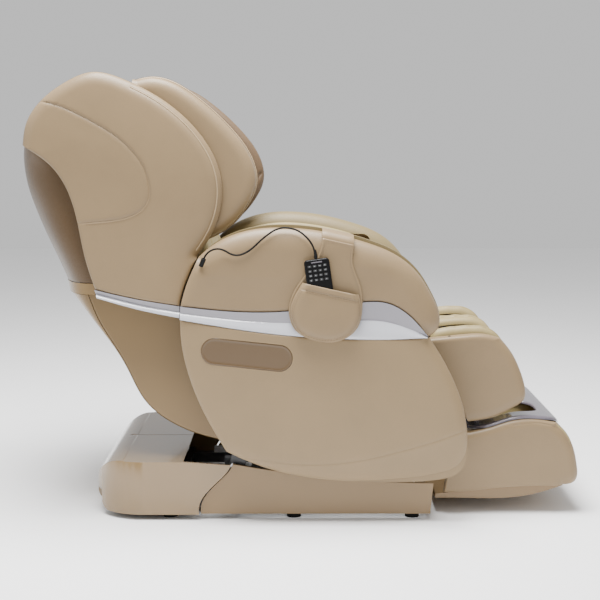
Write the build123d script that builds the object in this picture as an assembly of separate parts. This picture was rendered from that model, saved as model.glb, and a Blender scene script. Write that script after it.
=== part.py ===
from build123d import *
import os
from math import cos, radians, sin

# A shiatsu massage chair, in millimetres. +X is forward (towards the feet), +Y is the sitter's left
# and +Z is up. The shapes are drawn about the plane that the chair's two sides mirror in, and about the
# middle of the seat base, and then moved so that the middle of the whole outline is at the origin.
LENGTH_SHIFT = 33.0
SIDE_SHIFT = 12.75

# Widths, as distances from the middle plane
ARM_OUTER = 395
ARM_SKIN = 370
ARM_INNER = 302
LINER_INNER = 289
CHANNEL_DEPTH = 352
WING_OUTER = 362
WING_INNER = 318
SHOULDER_OUTER = 316
SHOULDER_INNER = 250
PAD_HALF = 245
REAR_COVER_HALF = 346
LOWER_HALF = 282
BASE_HALF = 325
BASE_FRONT_HALF = 315
LEG_OUTER = 270
LEG_PAD_OUTER = 236
WELL_OUTER = 192
WELL_INNER = 42
SEAM = 1.5

# Hinge axes, as (x, z) in the side view
RECLINE_PIVOT = (-215, 420)
TILT_PIVOT = (-200, 140)
LEG_PIVOT = (385, 470)
PILLOW_PIVOT = (-440, 1176)
PIN_RADIUS = 9
RUNNING_GAP = 0.08

# The lines that the massage carriage and the foot unit slide along
TRACK_POINT = (-384, 700)
TRACK_LEAN = 20
SLIDE_POINT = (405, 411)
SLIDE_LEAN = 203.7

# Outlines in the side view, shared by the pieces that meet along them
ARM_REAR = [(-285, 715), (-323, 625), (-333, 587)]
PANEL_REAR = [(-212, 198), (-255, 270), (-311, 400), (-333, 510), (-334, 550)]
ARM_TOP = [(-285, 715), (-250, 744), (-195, 772), (-125, 788), (-50, 790), (50, 778), (150, 752),
           (235, 716), (290, 668), (325, 612), (346, 555), (340, 522), (318, 503)]
TRIM_TOP = [(-333, 587), (-200, 574), (-80, 573), (60, 588), (150, 599), (205, 596), (250, 574), (318, 503)]
TRIM_LOW = [(-334, 550), (-200, 528), (-50, 509), (100, 500), (220, 499), (318, 503)]
PANEL_FRONT = [(318, 503), (350, 452), (384, 385), (410, 310), (421, 235), (419, 180), (402, 145),
               (350, 124), (230, 117), (110, 118), (-20, 132), (-120, 158), (-212, 198)]
WING_REAR = [(-562, 630), (-588, 715), (-606, 805), (-630, 885), (-672, 950), (-751, 1006)]
WING_CROWN = [(-751, 1006), (-742, 1060), (-697, 1127), (-633, 1173), (-568, 1197), (-480, 1177),
              (-370, 1117), (-280, 1030), (-234, 940), (-229, 850), (-258, 765), (-291, 714)]
WING_SEAM = [(-291, 714), (-329, 625), (-339, 587)]
STRIP_TOP = [(-339, 583), (-450, 601), (-562, 626)]
STRIP_LOW = [(-339, 550), (-450, 573), (-556, 603)]
LOWER_REAR = [(-672, 626), (-645, 578), (-611, 515), (-562, 431), (-514, 362), (-470, 304), (-428, 262), (-370, 238),
              (-300, 222), (-226, 204)]
REAR_BACK = [(-676, 640), (-702, 686), (-742, 756), (-778, 833), (-797, 884), (-806, 940), (-800, 1000), (-775, 1050),
             (-735, 1095), (-650, 1145), (-560, 1166)]
SHOULDER_EDGE = [(-464, 1180), (-418, 1187), (-375, 1175), (-306, 1134), (-204, 1047), (-134, 960), (-121, 905),
                 (-150, 842), (-198, 790), (-255, 758), (-300, 742)]


def flat(*edges):
    """A face in the side view, from edges drawn as (x, z)."""
    return Plane.XZ * make_face(edges)


def poly(*points):
    """A straight-sided side-view face."""
    return flat(*Polyline(*points, close=True).edges())


def slab(face, low, high):
    """A side-view face pulled from y = low to y = high."""
    return extrude(Pos(0, high, 0) * face, high - low)


def side_slab(face, side, inner, outer):
    """A slab on one side of the middle plane."""
    low, high = sorted((side * inner, side * outer))
    return slab(face, low, high)


def both(face, inner, outer):
    """The same slab on both sides of the middle plane, as two solids."""
    return [side_slab(face, side, inner, outer) for side in (-1, 1)]


def box(x, y, z):
    """A box from three pairs of limits."""
    limits = [sorted(pair) for pair in (x, y, z)]
    middle = [(high + low) / 2 for low, high in limits]
    return Pos(*middle) * Box(*[high - low for low, high in limits])


def bar(x, z, low, high, radius):
    """A round bar along Y."""
    return Pos(x, (low + high) / 2, z) * Rot(90, 0, 0) * Cylinder(radius, high - low)


def strut(start, end, y, radius):
    """A round bar in the side view, from one (x, z) to another."""
    direction = Vector(end[0] - start[0], 0, end[1] - start[1])
    plane = Plane(origin=(start[0], y, start[1]), x_dir=(0, 1, 0), z_dir=direction)
    return extrude(plane * Circle(radius), direction.length)


def along(point, lean, up, forward):
    """A side-view point at a distance along a leaning line and forward of it."""
    rise, run = radians(lean), radians(lean)
    return (point[0] - up * sin(rise) + forward * cos(run), point[1] + up * cos(rise) + forward * sin(run))


def leaning_block(point, lean, up, forward, low, high):
    """A block square to a leaning line, from pairs of limits up and forward of it, and y limits."""
    corners = [along(point, lean, up[i], forward[j]) for i, j in ((0, 0), (1, 0), (1, 1), (0, 1))]
    return slab(poly(*corners), low, high)


def track_block(up, forward, low, high):
    return leaning_block(TRACK_POINT, TRACK_LEAN, up, forward, low, high)


def slide_block(down, back, low, high):
    return leaning_block(SLIDE_POINT, SLIDE_LEAN, down, back, low, high)


# ---------------------------------------------------------------- base

BASE_CREASE = [(-292, 15), (-292, 40), (-272, 75), (-207, 150)]
REAR_CURVE = [(-574, 38), (-583, 70), (-575, 112), (-546, 145), (-496, 158)]
DECK_FRONT = -335
FOOT_X = (-373, -38, 283)
FOOT_Y = 282
WHEEL_X, WHEEL_Y, WHEEL_Z = -514, 235, 34
WHEEL_RADIUS = 22
WHEEL_AXLE = 5
INLET_Y = 150
SWITCH_Y = 168


def base_rear_cover():
    """The glossy rear shroud with a flat deck, open below and over the mechanism."""
    outside = slab(flat(Line((-292, 15), (-548, 15)), Line((-548, 15), (-574, 38)), Spline(*REAR_CURVE),
                        Line((-496, 158), (-330, 158)), Line((-330, 158), (-207, 150)),
                        Spline(*BASE_CREASE)), -BASE_HALF, BASE_HALF)
    plan = extrude(make_face(FilletPolyline((-583, BASE_HALF), (-583, -BASE_HALF), (-100, -BASE_HALF),
                                            (-100, BASE_HALF), radius=140, close=True).edges()), 200)
    plan += box((-300, -100), (-BASE_HALF, BASE_HALF), (0, 200))
    inner_plan = extrude(make_face(FilletPolyline((-575, 317), (-575, -317), (0, -317), (0, 317),
                                                  radius=134, close=True).edges()), 200)
    hollow = slab(poly((-100, 0), (-536, 0), (-566, 40), (-574, 70), (-566, 110), (-540, 138), (-494, 151),
                       (-100, 151)), -317, 317)
    bay = box((DECK_FRONT, -100), (-317, 317), (100, 200))
    notches = [box((-600, -470), (y - 20, y + 20), (0, 66)) for y in (-WHEEL_Y, WHEEL_Y)]
    inlet = box((-600, -546), (INLET_Y - 42, INLET_Y + 42), (52, 90))
    groove = box((-560, DECK_FRONT), (-1.5, 1.5), (156, 164))
    return (outside & plan).cut(hollow & inner_plan, bay, *notches, inlet, groove)


def base_front_cover():
    """The front shroud: two side walls joined by a front wall."""
    side = flat(Spline(*[(x + 5, z) for x, z in BASE_CREASE]), Spline((-202, 150), (-60, 128), (120, 108), (338, 98)),
                Line((338, 98), (330, 15)), Line((330, 15), (-287, 15)))
    return slab(side, -BASE_FRONT_HALF, BASE_FRONT_HALF) - box((-400, 318), (-304, 304), (0, 200))


def base_frame():
    """Welded steel tubes: two long rails, three cross tubes and the wheel brackets."""
    rails = [box((-490, 300), (y, y + 30), (20, 50)) for y in (-250, 220)]
    crosses = [box((x - 18, x + 18), (-298, 298), (20, 50)) for x in FOOT_X]
    ears = [box((-530, -470), (y + side - 3, y + side + 3), (22, 48)) for y in (-WHEEL_Y, WHEEL_Y)
            for side in (-16, 16)]
    frame = rails[0].fuse(rails[1], *crosses, *ears)
    wells = [box((-545, -484), (y - 13, y + 13), (0, 60)) for y in (-WHEEL_Y, WHEEL_Y)]
    return frame.cut(*wells, bar(WHEEL_X, WHEEL_Z, -270, 270, WHEEL_AXLE))


def transport_wheel(y):
    """A roller with its own axle stubs, for tipping the chair back and rolling it away."""
    wheel = bar(WHEEL_X, WHEEL_Z, y - 11, y + 11, WHEEL_RADIUS)
    return wheel + bar(WHEEL_X, WHEEL_Z, y - 18, y + 18, WHEEL_AXLE - RUNNING_GAP)


def base_feet():
    """Six rubber feet with short studs."""
    return [Pos(x, y, 6) * Cylinder(19, 12) + Pos(x, y, 16) * Cylinder(8, 8)
            for x in FOOT_X for y in (-FOOT_Y, FOOT_Y)]


def slide_rails():
    """Two straight guide rails for the seat carriage."""
    return [box((-290, 312), (y - 9, y + 9), (50, 68)) for y in (-235, 235)]


def power_supply():
    """The transformer case, with cooling fins."""
    case = box((-480, -400), (-180, -40), (50, 120))
    return case.fuse(*[box((-478 + 10 * i, -474 + 10 * i), (-180, -40), (118, 130)) for i in range(8)])


def air_pump():
    """The air-bag pump: a motor can between two diaphragm heads, with hose ports."""
    heads = [box((-475, -405), (y, y + 26), (50, 130)) for y in (45, 129)]
    ports = [Pos(-440, y, 134) * Cylinder(5, 14) for y in (57, 142)]
    return bar(-440, 95, 60, 140, 30).fuse(*heads, *ports)


def power_inlet():
    """The mains inlet plate: a recessed three-blade socket beside the rocker's window."""
    plate = box((-582, -556), (INLET_Y - 40, INLET_Y + 40), (54, 88))
    socket = box((-586, -566), (INLET_Y - 34, INLET_Y - 6), (60, 82))
    window = box((-586, -551), (SWITCH_Y - 10, SWITCH_Y + 10), (58, 84))
    blades = [box((-578, -565), (INLET_Y - 21 + y, INLET_Y - 19 + y), (z, z + 5)) for y, z in
              ((-8, 65), (8, 65), (0, 73))]
    pivot = bar(-569, 71, SWITCH_Y - 15, SWITCH_Y + 15, 2)
    return plate.cut(socket, window, pivot).fuse(*blades)


def mains_switch():
    """The rocker, with pivot stubs."""
    rocker = box((-583, -568), (SWITCH_Y - 9, SWITCH_Y + 9), (63, 79))
    return rocker + bar(-569, 71, SWITCH_Y - 14, SWITCH_Y + 14, 2 - 0.05)


# ---------------------------------------------------------------- carriage and actuators

TILT_FOOT = (150, 110)
TILT_HEAD = (120, 345)
ROD_RADIUS = 10
RECLINE_ROD_Z = 330
RECLINE_Y = 70
RECLINE_REACH = 28.4
LEG_ROD_Z = 340
LEG_Y = -70
LEG_REACH = 80
LUG_Y = 280


def carriage_frame():
    """The steel carriage: slide shoes, side bars, cross bars, tilt lugs and the actuator's foot."""
    shoes = [box((x, x + 60), (y - 20, y + 20), (51, 95)) - box((x - 1, x + 61), (y - 9.4, y + 9.4), (40, 68.4))
             for x in (-235, 130) for y in (-235, 235)]
    sides = [box((-235, 190), (y - 14, y + 14), (70, 95)) for y in (-235, 235)]
    crosses = [box((x, x + 30), (-240, 240), (70, 95)) for x in (-160, 135)]
    lugs = [box((-225, -175), (side * 274, side * 284), (70, 165)) for side in (-1, 1)]
    lug_ties = [box((-225, -175), (side * 240, side * 280), (70, 95)) for side in (-1, 1)]
    clevis = [box((132, 168), (side * 19, side * 27), (90, 130)) for side in (-1, 1)]
    frame = shoes[0].fuse(*shoes[1:], *sides, *crosses, *lugs, *lug_ties, *clevis)
    return frame.cut(bar(*TILT_PIVOT, -300, 300, PIN_RADIUS + RUNNING_GAP),
                     bar(*TILT_FOOT, -60, 60, 6 + RUNNING_GAP))


def tilt_point(distance):
    """A side-view point up the tilt actuator from its foot."""
    run, rise = TILT_HEAD[0] - TILT_FOOT[0], TILT_HEAD[1] - TILT_FOOT[1]
    length = (run * run + rise * rise) ** 0.5
    return TILT_FOOT[0] + run * distance / length, TILT_FOOT[1] + rise * distance / length


def tilt_actuator_tube():
    """The lower half of the tilt actuator: foot pin, motor and outer tube."""
    tube = strut(tilt_point(14), tilt_point(150), 0, 18)
    motor = strut((tilt_point(30)[0] + 44, tilt_point(30)[1]), (tilt_point(125)[0] + 44, tilt_point(125)[1]), 0, 18)
    neck = box((150, 190), (-12, 12), (140, 165))
    body = tube.fuse(bar(*TILT_FOOT, -16, 16, 14), motor, neck, bar(*TILT_FOOT, -27, 27, 6))
    return body - strut(tilt_point(26), tilt_point(160), 0, ROD_RADIUS + RUNNING_GAP)


def tilt_actuator_rod():
    """The sliding rod, with an eye at its head."""
    return strut(tilt_point(30), TILT_HEAD, 0, ROD_RADIUS) + bar(*TILT_HEAD, -12, 12, 15)


def level_tube(x_low, x_high, bore_low, y, z, hanger_x, hanger_z):
    """A level actuator's outer tube, with its motor slung below and a hanger above."""
    middle = (x_low + x_high) / 2
    tube = Pos(middle, y, z) * Rot(0, 90, 0) * Cylinder(16, x_high - x_low)
    motor = Pos(middle, y, z - 36) * Rot(0, 90, 0) * Cylinder(17, 100)
    neck = box((middle - 20, middle + 20), (y - 10, y + 10), (z - 30, z - 12))
    hanger = box((hanger_x, hanger_x + 20), (y - 10, y + 10), (z - 10, hanger_z))
    bore = Pos(bore_low + 200, y, z) * Rot(0, 90, 0) * Cylinder(ROD_RADIUS + RUNNING_GAP, 400)
    return tube.fuse(motor, neck, hanger) - bore


def recline_actuator_tube():
    """The recline actuator's tube, hung from the rear of the seat frame."""
    return level_tube(-120, 110, -300, RECLINE_Y, RECLINE_ROD_Z, 75, 360)


def fork(x, end, y, z):
    """A level rod whose two-pronged fork straddles a lever at x."""
    toward = 1 if end > x else -1
    prongs = [box((x - 14 * toward, x + 34 * toward), (y + side * 6, y + side * 12), (z - 9, z + 9)) for side in (-1, 1)]
    yoke = box((x + 24 * toward, x + 34 * toward), (y - 12, y + 12), (z - 9, z + 9))
    length = abs(end - x) - 30
    rod = Pos(x + toward * (30 + length / 2), y, z) * Rot(0, 90, 0) * Cylinder(ROD_RADIUS, length)
    return yoke.fuse(*prongs, rod)


def recline_actuator_rod():
    return fork(RECLINE_PIVOT[0] - RECLINE_REACH, 0, RECLINE_Y, RECLINE_ROD_Z)


def leg_actuator_tube():
    """The leg-rest actuator's tube, hung from the front of the seat frame."""
    return level_tube(36, 255, 50, LEG_Y, LEG_ROD_Z, 150, 376)


def leg_actuator_rod():
    return fork(LEG_PIVOT[0] - LEG_REACH, 60, LEG_Y, LEG_ROD_Z)


# ---------------------------------------------------------------- seat and arms

def seat_frame():
    """Steel seat frame: side plates, cross tubes, hinge ears and arm posts."""
    plate = poly((-222, 118), (-178, 118), (-95, 352), (290, 352), (290, 388), (-185, 388), (-190, 440),
                 (-240, 440), (-240, 400), (-150, 352))
    plates = both(plate, 288, 297)
    crosses = [box((x, x + 24), (-292, 292), (364, 388)) for x in (70, 262)]
    crosses.append(box((-110, -86), (-292, 292), (364, 388)))
    leg_ears = both(poly((262, 364), (326, 364), (403, 462), (399, 484), (385, 490), (369, 482), (322, 402),
                         (290, 388), (262, 388)), 251, 259)
    posts = [box((x, x + 30), (side * 297, side * 330), (356, 386)) for x in (20, 200) for side in (-1, 1)]
    uprights = [box((x, x + 30), (side * 318, side * 332), (356, 600)) for x in (20, 200) for side in (-1, 1)]
    head_clevis = [box((102, 140), (side * 14, side * 22), (328, 376)) for side in (-1, 1)]
    head_tie = box((80, 140), (-22, 22), (366, 386))
    hangers = [box((75, 95), (60, 80), (360, 370)), box((90, 170), (-80, -60), (376, 386))]
    frame = plates[0].fuse(plates[1], *crosses, *leg_ears, *posts, *uprights, *head_clevis, head_tie, *hangers)
    return frame.cut(bar(*RECLINE_PIVOT, -300, 300, PIN_RADIUS), bar(*TILT_PIVOT, -300, 300, PIN_RADIUS),
                     bar(*LEG_PIVOT, -300, 300, PIN_RADIUS))


def hinge_pins():
    """Six hinge pins: a pair each for the backrest, the tilt and the leg rest."""
    spans = ((RECLINE_PIVOT, 264, 297), (TILT_PIVOT, 272, 297), (LEG_PIVOT, 236.5, 261))
    return [bar(*pivot, *sorted((side * inner, side * outer)), PIN_RADIUS)
            for side in (-1, 1) for pivot, inner, outer in spans]


def seat_cushion():
    """The seat: a dished pad with a nose that falls away ahead of the leg rest."""
    top = Spline((-188, 438), (-60, 438), (100, 448), (200, 460), (250, 458), (288, 432), (306, 392))
    return slab(flat(top, Line((306, 392), (-188, 392)), Line((-188, 392), (-188, 438))), -246, 246)


CHANNEL_X = (-150, 200)
CHANNEL_Z = (640, 730)


def arm_pad(side):
    """The leather-covered arm: a rounded top roll over a forearm channel."""
    face = flat(Spline(*ARM_TOP), Spline(*reversed(TRIM_TOP)), Spline(*reversed(ARM_REAR)))
    pad = side_slab(face, side, ARM_INNER, ARM_OUTER)
    crest = pad.edges().filter_by(lambda e: e.center().Z > 640 and e.length > 500)
    pad = fillet(crest, 30)
    posts = [box((x - 2, x + 32), (side * 316, side * 334), (560, 602)) for x in (20, 200)]
    pad = pad.cut(box(CHANNEL_X, (side * (ARM_INNER - 5), side * CHANNEL_DEPTH), CHANNEL_Z), *posts)
    return pad - cable_gland() if side < 0 else pad


def arm_liner(side):
    """The inner cushion of the arm, with the mouth of the forearm channel cut through."""
    face = flat(Spline((-262, 690), (-230, 722), (-180, 748), (-110, 764), (-50, 766), (50, 754), (150, 728),
                       (225, 694), (275, 650), (305, 600), (322, 545)),
                Spline((322, 545), (316, 505), (290, 470)), Line((290, 470), (-200, 460)),
                Spline((-200, 460), (-262, 540), (-278, 620), (-262, 690)))
    return side_slab(face, side, LINER_INNER, ARM_INNER - 0.5) - box(CHANNEL_X, (side * 280, side * 320), CHANNEL_Z)


def arm_trim(side):
    """The silver strip between the arm and the side panel, turning down at the front."""
    face = flat(Spline(*[(x, z - 0.5) for x, z in TRIM_TOP[:-1]], (306, 512)), Line((306, 512), (306, 504.5)),
                Spline((306, 504.5), *[(x, z + 0.6) for x, z in reversed(TRIM_LOW[:-1])]),
                Line((TRIM_LOW[0][0], TRIM_LOW[0][1] + 0.6), (TRIM_TOP[0][0], TRIM_TOP[0][1] - 0.5)))
    return side_slab(face, side, ARM_OUTER - 24, ARM_OUTER + 1)


PLATE_MIDDLE = (-160, 460)
PLATE_LENGTH, PLATE_HEIGHT = 240, 70
PLATE_TURN = -6
PLATE_DEPTH = 4


def plate_outline(grow):
    """The name plate's round-ended outline, grown by a margin."""
    outline = RectangleRounded(PLATE_LENGTH + 2 * grow, PLATE_HEIGHT + 2 * grow, PLATE_HEIGHT / 2 + grow - 0.5)
    return Plane.XZ * (Pos(*PLATE_MIDDLE) * Rot(0, 0, PLATE_TURN) * outline)


def arm_panel(side):
    """The big side shell, with a shallow seat for the name plate."""
    face = flat(Spline(*PANEL_FRONT), Spline(*PANEL_REAR), Spline(*TRIM_LOW))
    panel = side_slab(face, side, ARM_SKIN, ARM_OUTER)
    return panel - side_slab(plate_outline(0.4), side, ARM_OUTER - PLATE_DEPTH, ARM_OUTER + 5)


def name_plates():
    """A plain round-ended plate on each side panel."""
    return both(plate_outline(0), ARM_OUTER - PLATE_DEPTH, ARM_OUTER - 0.5)


# ---------------------------------------------------------------- pouch, handset and its cable

POUCH_BACK = (-400, -396.2)
HANDSET_Y = (-417.5, -401)
POUCH_FRONT = (-421.5, -418.5)
HANDSET_MIDDLE = (31, 638)
HANDSET_SIZE = (66, 150)
HANDSET_TURN = 8
CABLE_RADIUS = 2.5


def pouch():
    """The remote pouch: a hanging back panel with a deep pocket sewn on it."""
    back = flat(Spline((38, 766), (32, 735), (8, 690), (-35, 630), (-50, 570), (-30, 522), (10, 500), (50, 493),
                       (95, 502), (130, 535), (141, 585), (136, 640), (116, 700), (119, 748)),
                Line((119, 748), (38, 766)))
    rim = Spline((131, 619), (138, 585), (127, 537), (93, 505), (50, 496), (12, 503), (-26, 524), (-46, 570), (-14, 651))
    front = flat(Line((-14, 651), (131, 619)), rim)
    core = flat(Line((-8, 670), (126, 640)), Line((126, 640), (131, 590)),
                Spline((131, 590), (121, 543), (91, 513), (50, 503), (14, 509), (-22, 530), (-38, 570), (-8, 648)),
                Line((-8, 648), (-8, 670)))
    return slab(back, *POUCH_BACK) + (slab(front, POUCH_FRONT[0], POUCH_BACK[0]) - slab(core, POUCH_FRONT[1], POUCH_BACK[0]))


def handset_face(grow, drop, width, height, radius):
    """A rounded rectangle on the handset, from its middle."""
    outline = RectangleRounded(width + 2 * grow, height + 2 * grow, radius)
    return Plane.XZ * (Pos(*HANDSET_MIDDLE) * Rot(0, 0, HANDSET_TURN) * Pos(0, drop) * outline)


BUTTON_SPOTS = [(x, y) for y in (58, 46, 34, 22) for x in (-20, -6.6, 6.6, 20)]


def handset_case():
    """The handset: a rounded slab with button wells and a socket for the cable."""
    case = slab(handset_face(0, 0, *HANDSET_SIZE, 9), *HANDSET_Y)
    wells = [slab(button_face(x, y, 0.4), HANDSET_Y[0] - 1, HANDSET_Y[0] + 3) for x, y in BUTTON_SPOTS]
    return case.cut(*wells)


def button_face(x, y, grow):
    """One button's outline at its place on the handset."""
    outline = RectangleRounded(9 + 2 * grow, 6 + 2 * grow, 1.5)
    return Plane.XZ * (Pos(*HANDSET_MIDDLE) * Rot(0, 0, HANDSET_TURN) * Pos(x, y) * outline)


def handset_buttons():
    """Sixteen small keys in four rows."""
    return [slab(button_face(x, y, 0), HANDSET_Y[0] - 0.8, HANDSET_Y[0] + 2) for x, y in BUTTON_SPOTS]


CABLE_POINTS = [(-270, -402, 712), (-262, -409, 731), (-228, -404, 742), (-190, -402, 717), (-152, -401, 731),
                (-115, -398, 768), (-75, -390, 794), (-30, -392, 789), (0, -404, 766), (16.94, -409, 738.02),
                (20.56, -409, 712.29)]


def cable_radii():
    """Each bend's radius: the largest that leaves a straight in the middle of its shorter run."""
    radii = []
    for before, here, after in zip(CABLE_POINTS, CABLE_POINTS[1:], CABLE_POINTS[2:]):
        first, second = Vector(here) - Vector(before), Vector(after) - Vector(here)
        half_turn = radians(first.get_angle(second) / 2)
        radii.append(0.45 * min(first.length, second.length) * cos(half_turn) / sin(half_turn))
    return radii


def handset_cable():
    """The round cable from the gland on the arm to the top of the handset."""
    radii = cable_radii()
    print("cable bend radii", [round(radius, 1) for radius in radii])
    path = FilletPolyline(*CABLE_POINTS, radius=radii)
    start = Plane(origin=CABLE_POINTS[0], z_dir=Vector(CABLE_POINTS[1]) - Vector(CABLE_POINTS[0]))
    cable = sweep(start * Circle(CABLE_RADIUS), path=path)
    print("cable length", round(path.length, 1), "volume ratio",
          round(cable.volume / (path.length * 3.14159 * CABLE_RADIUS ** 2), 4))
    return cable


GLAND_LENGTH = 22


def cable_gland():
    """The small gland that the cable leaves the arm through."""
    toward = Vector(CABLE_POINTS[1]) - Vector(CABLE_POINTS[0])
    plane = Plane(origin=Vector(CABLE_POINTS[0]) - toward.normalized() * GLAND_LENGTH, z_dir=toward)
    return extrude(plane * Circle(6), GLAND_LENGTH)


# ---------------------------------------------------------------- backrest

def back_frame():
    """Steel back frame: hinge ears, uprights, cross tubes, carriage rails and the recline lever."""
    ears = both(poly((-232, 404), (-215, 398), (-198, 410), (-198, 432), (-255, 560), (-290, 560), (-236, 425)), 265, 273)
    bottom = slab(poly(*[along(TRACK_POINT, TRACK_LEAN, u, f) for u, f in
                         ((-175, -30), (-150, -30), (-150, 30), (-175, 30))]), -273, 273)
    ties = both(poly((-255, 560), (-290, 560), (-345, 600), (-300, 600)), 180, 273)
    uprights = [track_block((-175, 330), (-30, 30), y, y + 8) for y in (-186, 178)]
    top = track_block((305, 330), (-30, 30), -186, 186)
    rails = [track_block((-150, 305), (f, f + 6), side * 158 - 20, side * 158 + 20) for side in (-1, 1) for f in (-30, 24)]
    lever = slab(poly((-232, 404), (-198, 404), (-198, 432), (-300, 560), (-340, 575), (-232, 425)),
                 RECLINE_Y - 4, RECLINE_Y + 4)
    arm = slab(poly((-232, 425), (-258, 322), (-228, 318), (-198, 425)), RECLINE_Y - 4, RECLINE_Y + 4)
    frame = ears[0].fuse(ears[1], bottom, *ties, *uprights, top, *rails, lever, arm)
    return frame - bar(*RECLINE_PIVOT, -300, 300, PIN_RADIUS + RUNNING_GAP)


def back_wing(side):
    """The big leather side wing of the backrest."""
    face = flat(Spline(*WING_REAR), Spline(*WING_CROWN), Spline(*WING_SEAM), Spline(*[(x, z + 4) for x, z in STRIP_TOP]))
    return side_slab(face, side, WING_INNER, WING_OUTER)


def back_strips():
    """The silver strip under each wing."""
    return both(flat(Spline(*STRIP_TOP), Line(STRIP_TOP[-1], STRIP_LOW[-1]), Spline(*reversed(STRIP_LOW)),
                     Line(STRIP_LOW[0], STRIP_TOP[0])), 330, 356)


def back_rear_cover():
    """The glossy rear shell that bulges out behind the wings."""
    outside = slab(flat(Spline(*REAR_BACK), Line((-560, 1166), (-560, 640)), Line((-560, 640), (-676, 640))),
                   -REAR_COVER_HALF, REAR_COVER_HALF)
    inner_line = Spline((-669, 640), (-736, 759), (-771, 836), (-790, 886), (-799, 940), (-793, 998), (-770, 1045),
                        (-731, 1088), (-648, 1138), (-550, 1158))
    inside = slab(flat(inner_line, Line((-550, 1158), (-550, 640)), Line((-550, 640), (-669, 640))), -339, 339)
    sides = both(flat(*WING_REAR_EDGE), WING_INNER - 2, REAR_COVER_HALF + 1)
    return (rounded_rear(outside, 90) - rounded_rear(inside, 84)).cut(*sides)


def rounded_rear(block, radius):
    """Rounds the two curved edges where a block's rear face meets its sides."""
    return fillet(block.edges().filter_by(GeomType.BSPLINE), radius)


WING_REAR_EDGE = (Spline(*WING_REAR), Spline(*WING_CROWN[:5]), Line((-568, 1197), (-500, 1197)),
                  Line((-500, 1197), (-500, 630)), Line((-500, 630), (-562, 630)))


def back_lower_cover():
    """The glossy lower shell, curved about the recline hinge so that it slides under the seat."""
    outside = slab(flat(Spline(*LOWER_REAR), Line((-226, 204), (-226, 420)), Line((-226, 420), (-330, 600)),
                        Line((-330, 600), (-672, 626))), -LOWER_HALF, LOWER_HALF)
    inside = slab(flat(Spline((-668, 640), (-639, 578), (-604, 513), (-556, 427), (-508, 358), (-465, 301), (-425, 261.5),
                              (-368, 244.5), (-298, 229), (-220, 210)), Line((-220, 210), (-220, 640)),
                       Line((-220, 640), (-668, 640))), -(LOWER_HALF - 6), LOWER_HALF - 6)
    front = slab(poly((-226, 224), (-300, 330), (-330, 520), (-420, 607), (-420, 700), (-100, 700), (-100, 224)),
                 -LOWER_HALF - 1, LOWER_HALF + 1)
    return (rounded_rear(outside, 50) - rounded_rear(inside, 44)) - front


def shoulder_pads():
    """The deep shoulder cushions that wrap the sitter on both sides."""
    return both(flat(Spline(*SHOULDER_EDGE), Line((-300, 742), (-345, 742)), Line((-345, 742), (-464, 1080)),
                     Line((-464, 1080), (-464, 1180))), SHOULDER_INNER, SHOULDER_OUTER)


PAD_FRONT = [(-165, 462), (-196, 545), (-240, 665), (-290, 800), (-340, 940), (-385, 1060), (-430, 1120),
             (-500, 1155), (-556, 1160)]
PAD_REAR = [(-553, 1112), (-500, 1108), (-462, 1082), (-430, 1040), (-385, 925), (-335, 785), (-285, 650),
            (-240, 530), (-210, 462)]


def back_pad():
    """The back cushion, which runs up the backrest and over its top."""
    face = flat(Spline(*PAD_FRONT), Line(PAD_FRONT[-1], PAD_REAR[0]), Spline(*PAD_REAR), Line(PAD_REAR[-1], PAD_FRONT[0]))
    return slab(face, -PAD_HALF, PAD_HALF).cut(*pillow_posts())


def pillow():
    """The head pillow, hung from the top of the backrest."""
    face = flat(Spline((-395, 1160), (-365, 1148), (-318, 1085), (-288, 1000), (-290, 950)),
                Spline((-290, 950), (-310, 934), (-332, 945)), Spline((-332, 945), (-378, 1062), (-402, 1106), (-425, 1130)),
                Line((-425, 1130), (-395, 1160)))
    loop = [bar(*PILLOW_PIVOT, y - 20, y + 20, 8) + slab(poly((-446, 1170), (-434, 1182), (-386, 1152), (-400, 1136)),
                                                         y - 20, y + 20) for y in (-80, 80)]
    cushion = slab(face, -150, 150)
    return cushion.fuse(*loop) - bar(*PILLOW_PIVOT, -200, 200, 4 + RUNNING_GAP)


def pillow_posts():
    """The two posts that hold the pillow's bar, set into the back cushion."""
    return [slab(poly((-444, 1178), (-436, 1176), (-442, 1116), (-454, 1118)), y - 4, y + 4) for y in (-120, 120)]


def pillow_bar():
    """The steel bar over the backrest that the pillow hangs from."""
    return bar(*PILLOW_PIVOT, -124, 124, 4).fuse(*pillow_posts())


SHAFT_UP = 20


def massage_carriage():
    """The massage carriage: two cheeks, a motor housing and guide shoes in the rails."""
    cheeks = [track_block((-70, 70), (-22, 22), y, y + 8) for y in (-128, 120)]
    housing = track_block((-70, 70), (-100, -66), -128, 128)
    arms = [track_block((-70, -50), (-70, -20), y, y + 8) for y in (-128, 120)]
    arms += [track_block((50, 70), (-70, -20), y, y + 8) for y in (-128, 120)]
    shoes = [track_block((up, up + 30), (-23.6, 23.6), side * 148 - 28, side * 148 + 28) for side in (-1, 1) for up in (-70, 40)]
    carriage = housing.fuse(*cheeks, *arms, *shoes)
    shaft = bar(*along(TRACK_POINT, TRACK_LEAN, SHAFT_UP, 0), -200, 200, 8 + RUNNING_GAP)
    clear = track_block((-49, 69), (-60, 60), -119.9, 119.9)
    return carriage.cut(shaft, clear)


def kneading_shaft():
    """The kneading shaft: two offset arms, each with a pair of massage rollers."""
    x, z = along(TRACK_POINT, TRACK_LEAN, SHAFT_UP, 0)
    parts = [bar(x, z, -127, 127, 8)]
    for side in (-1, 1):
        parts.append(box((x - 42, x + 42), (side * 54, side * 66), (z - 12, z + 12)))
        parts += [bar(x + reach, z, side * 60 - 15, side * 60 + 15, 17) for reach in (-38, 38)]
    return parts[0].fuse(*parts[1:])


# ---------------------------------------------------------------- leg rest and foot unit

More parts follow.
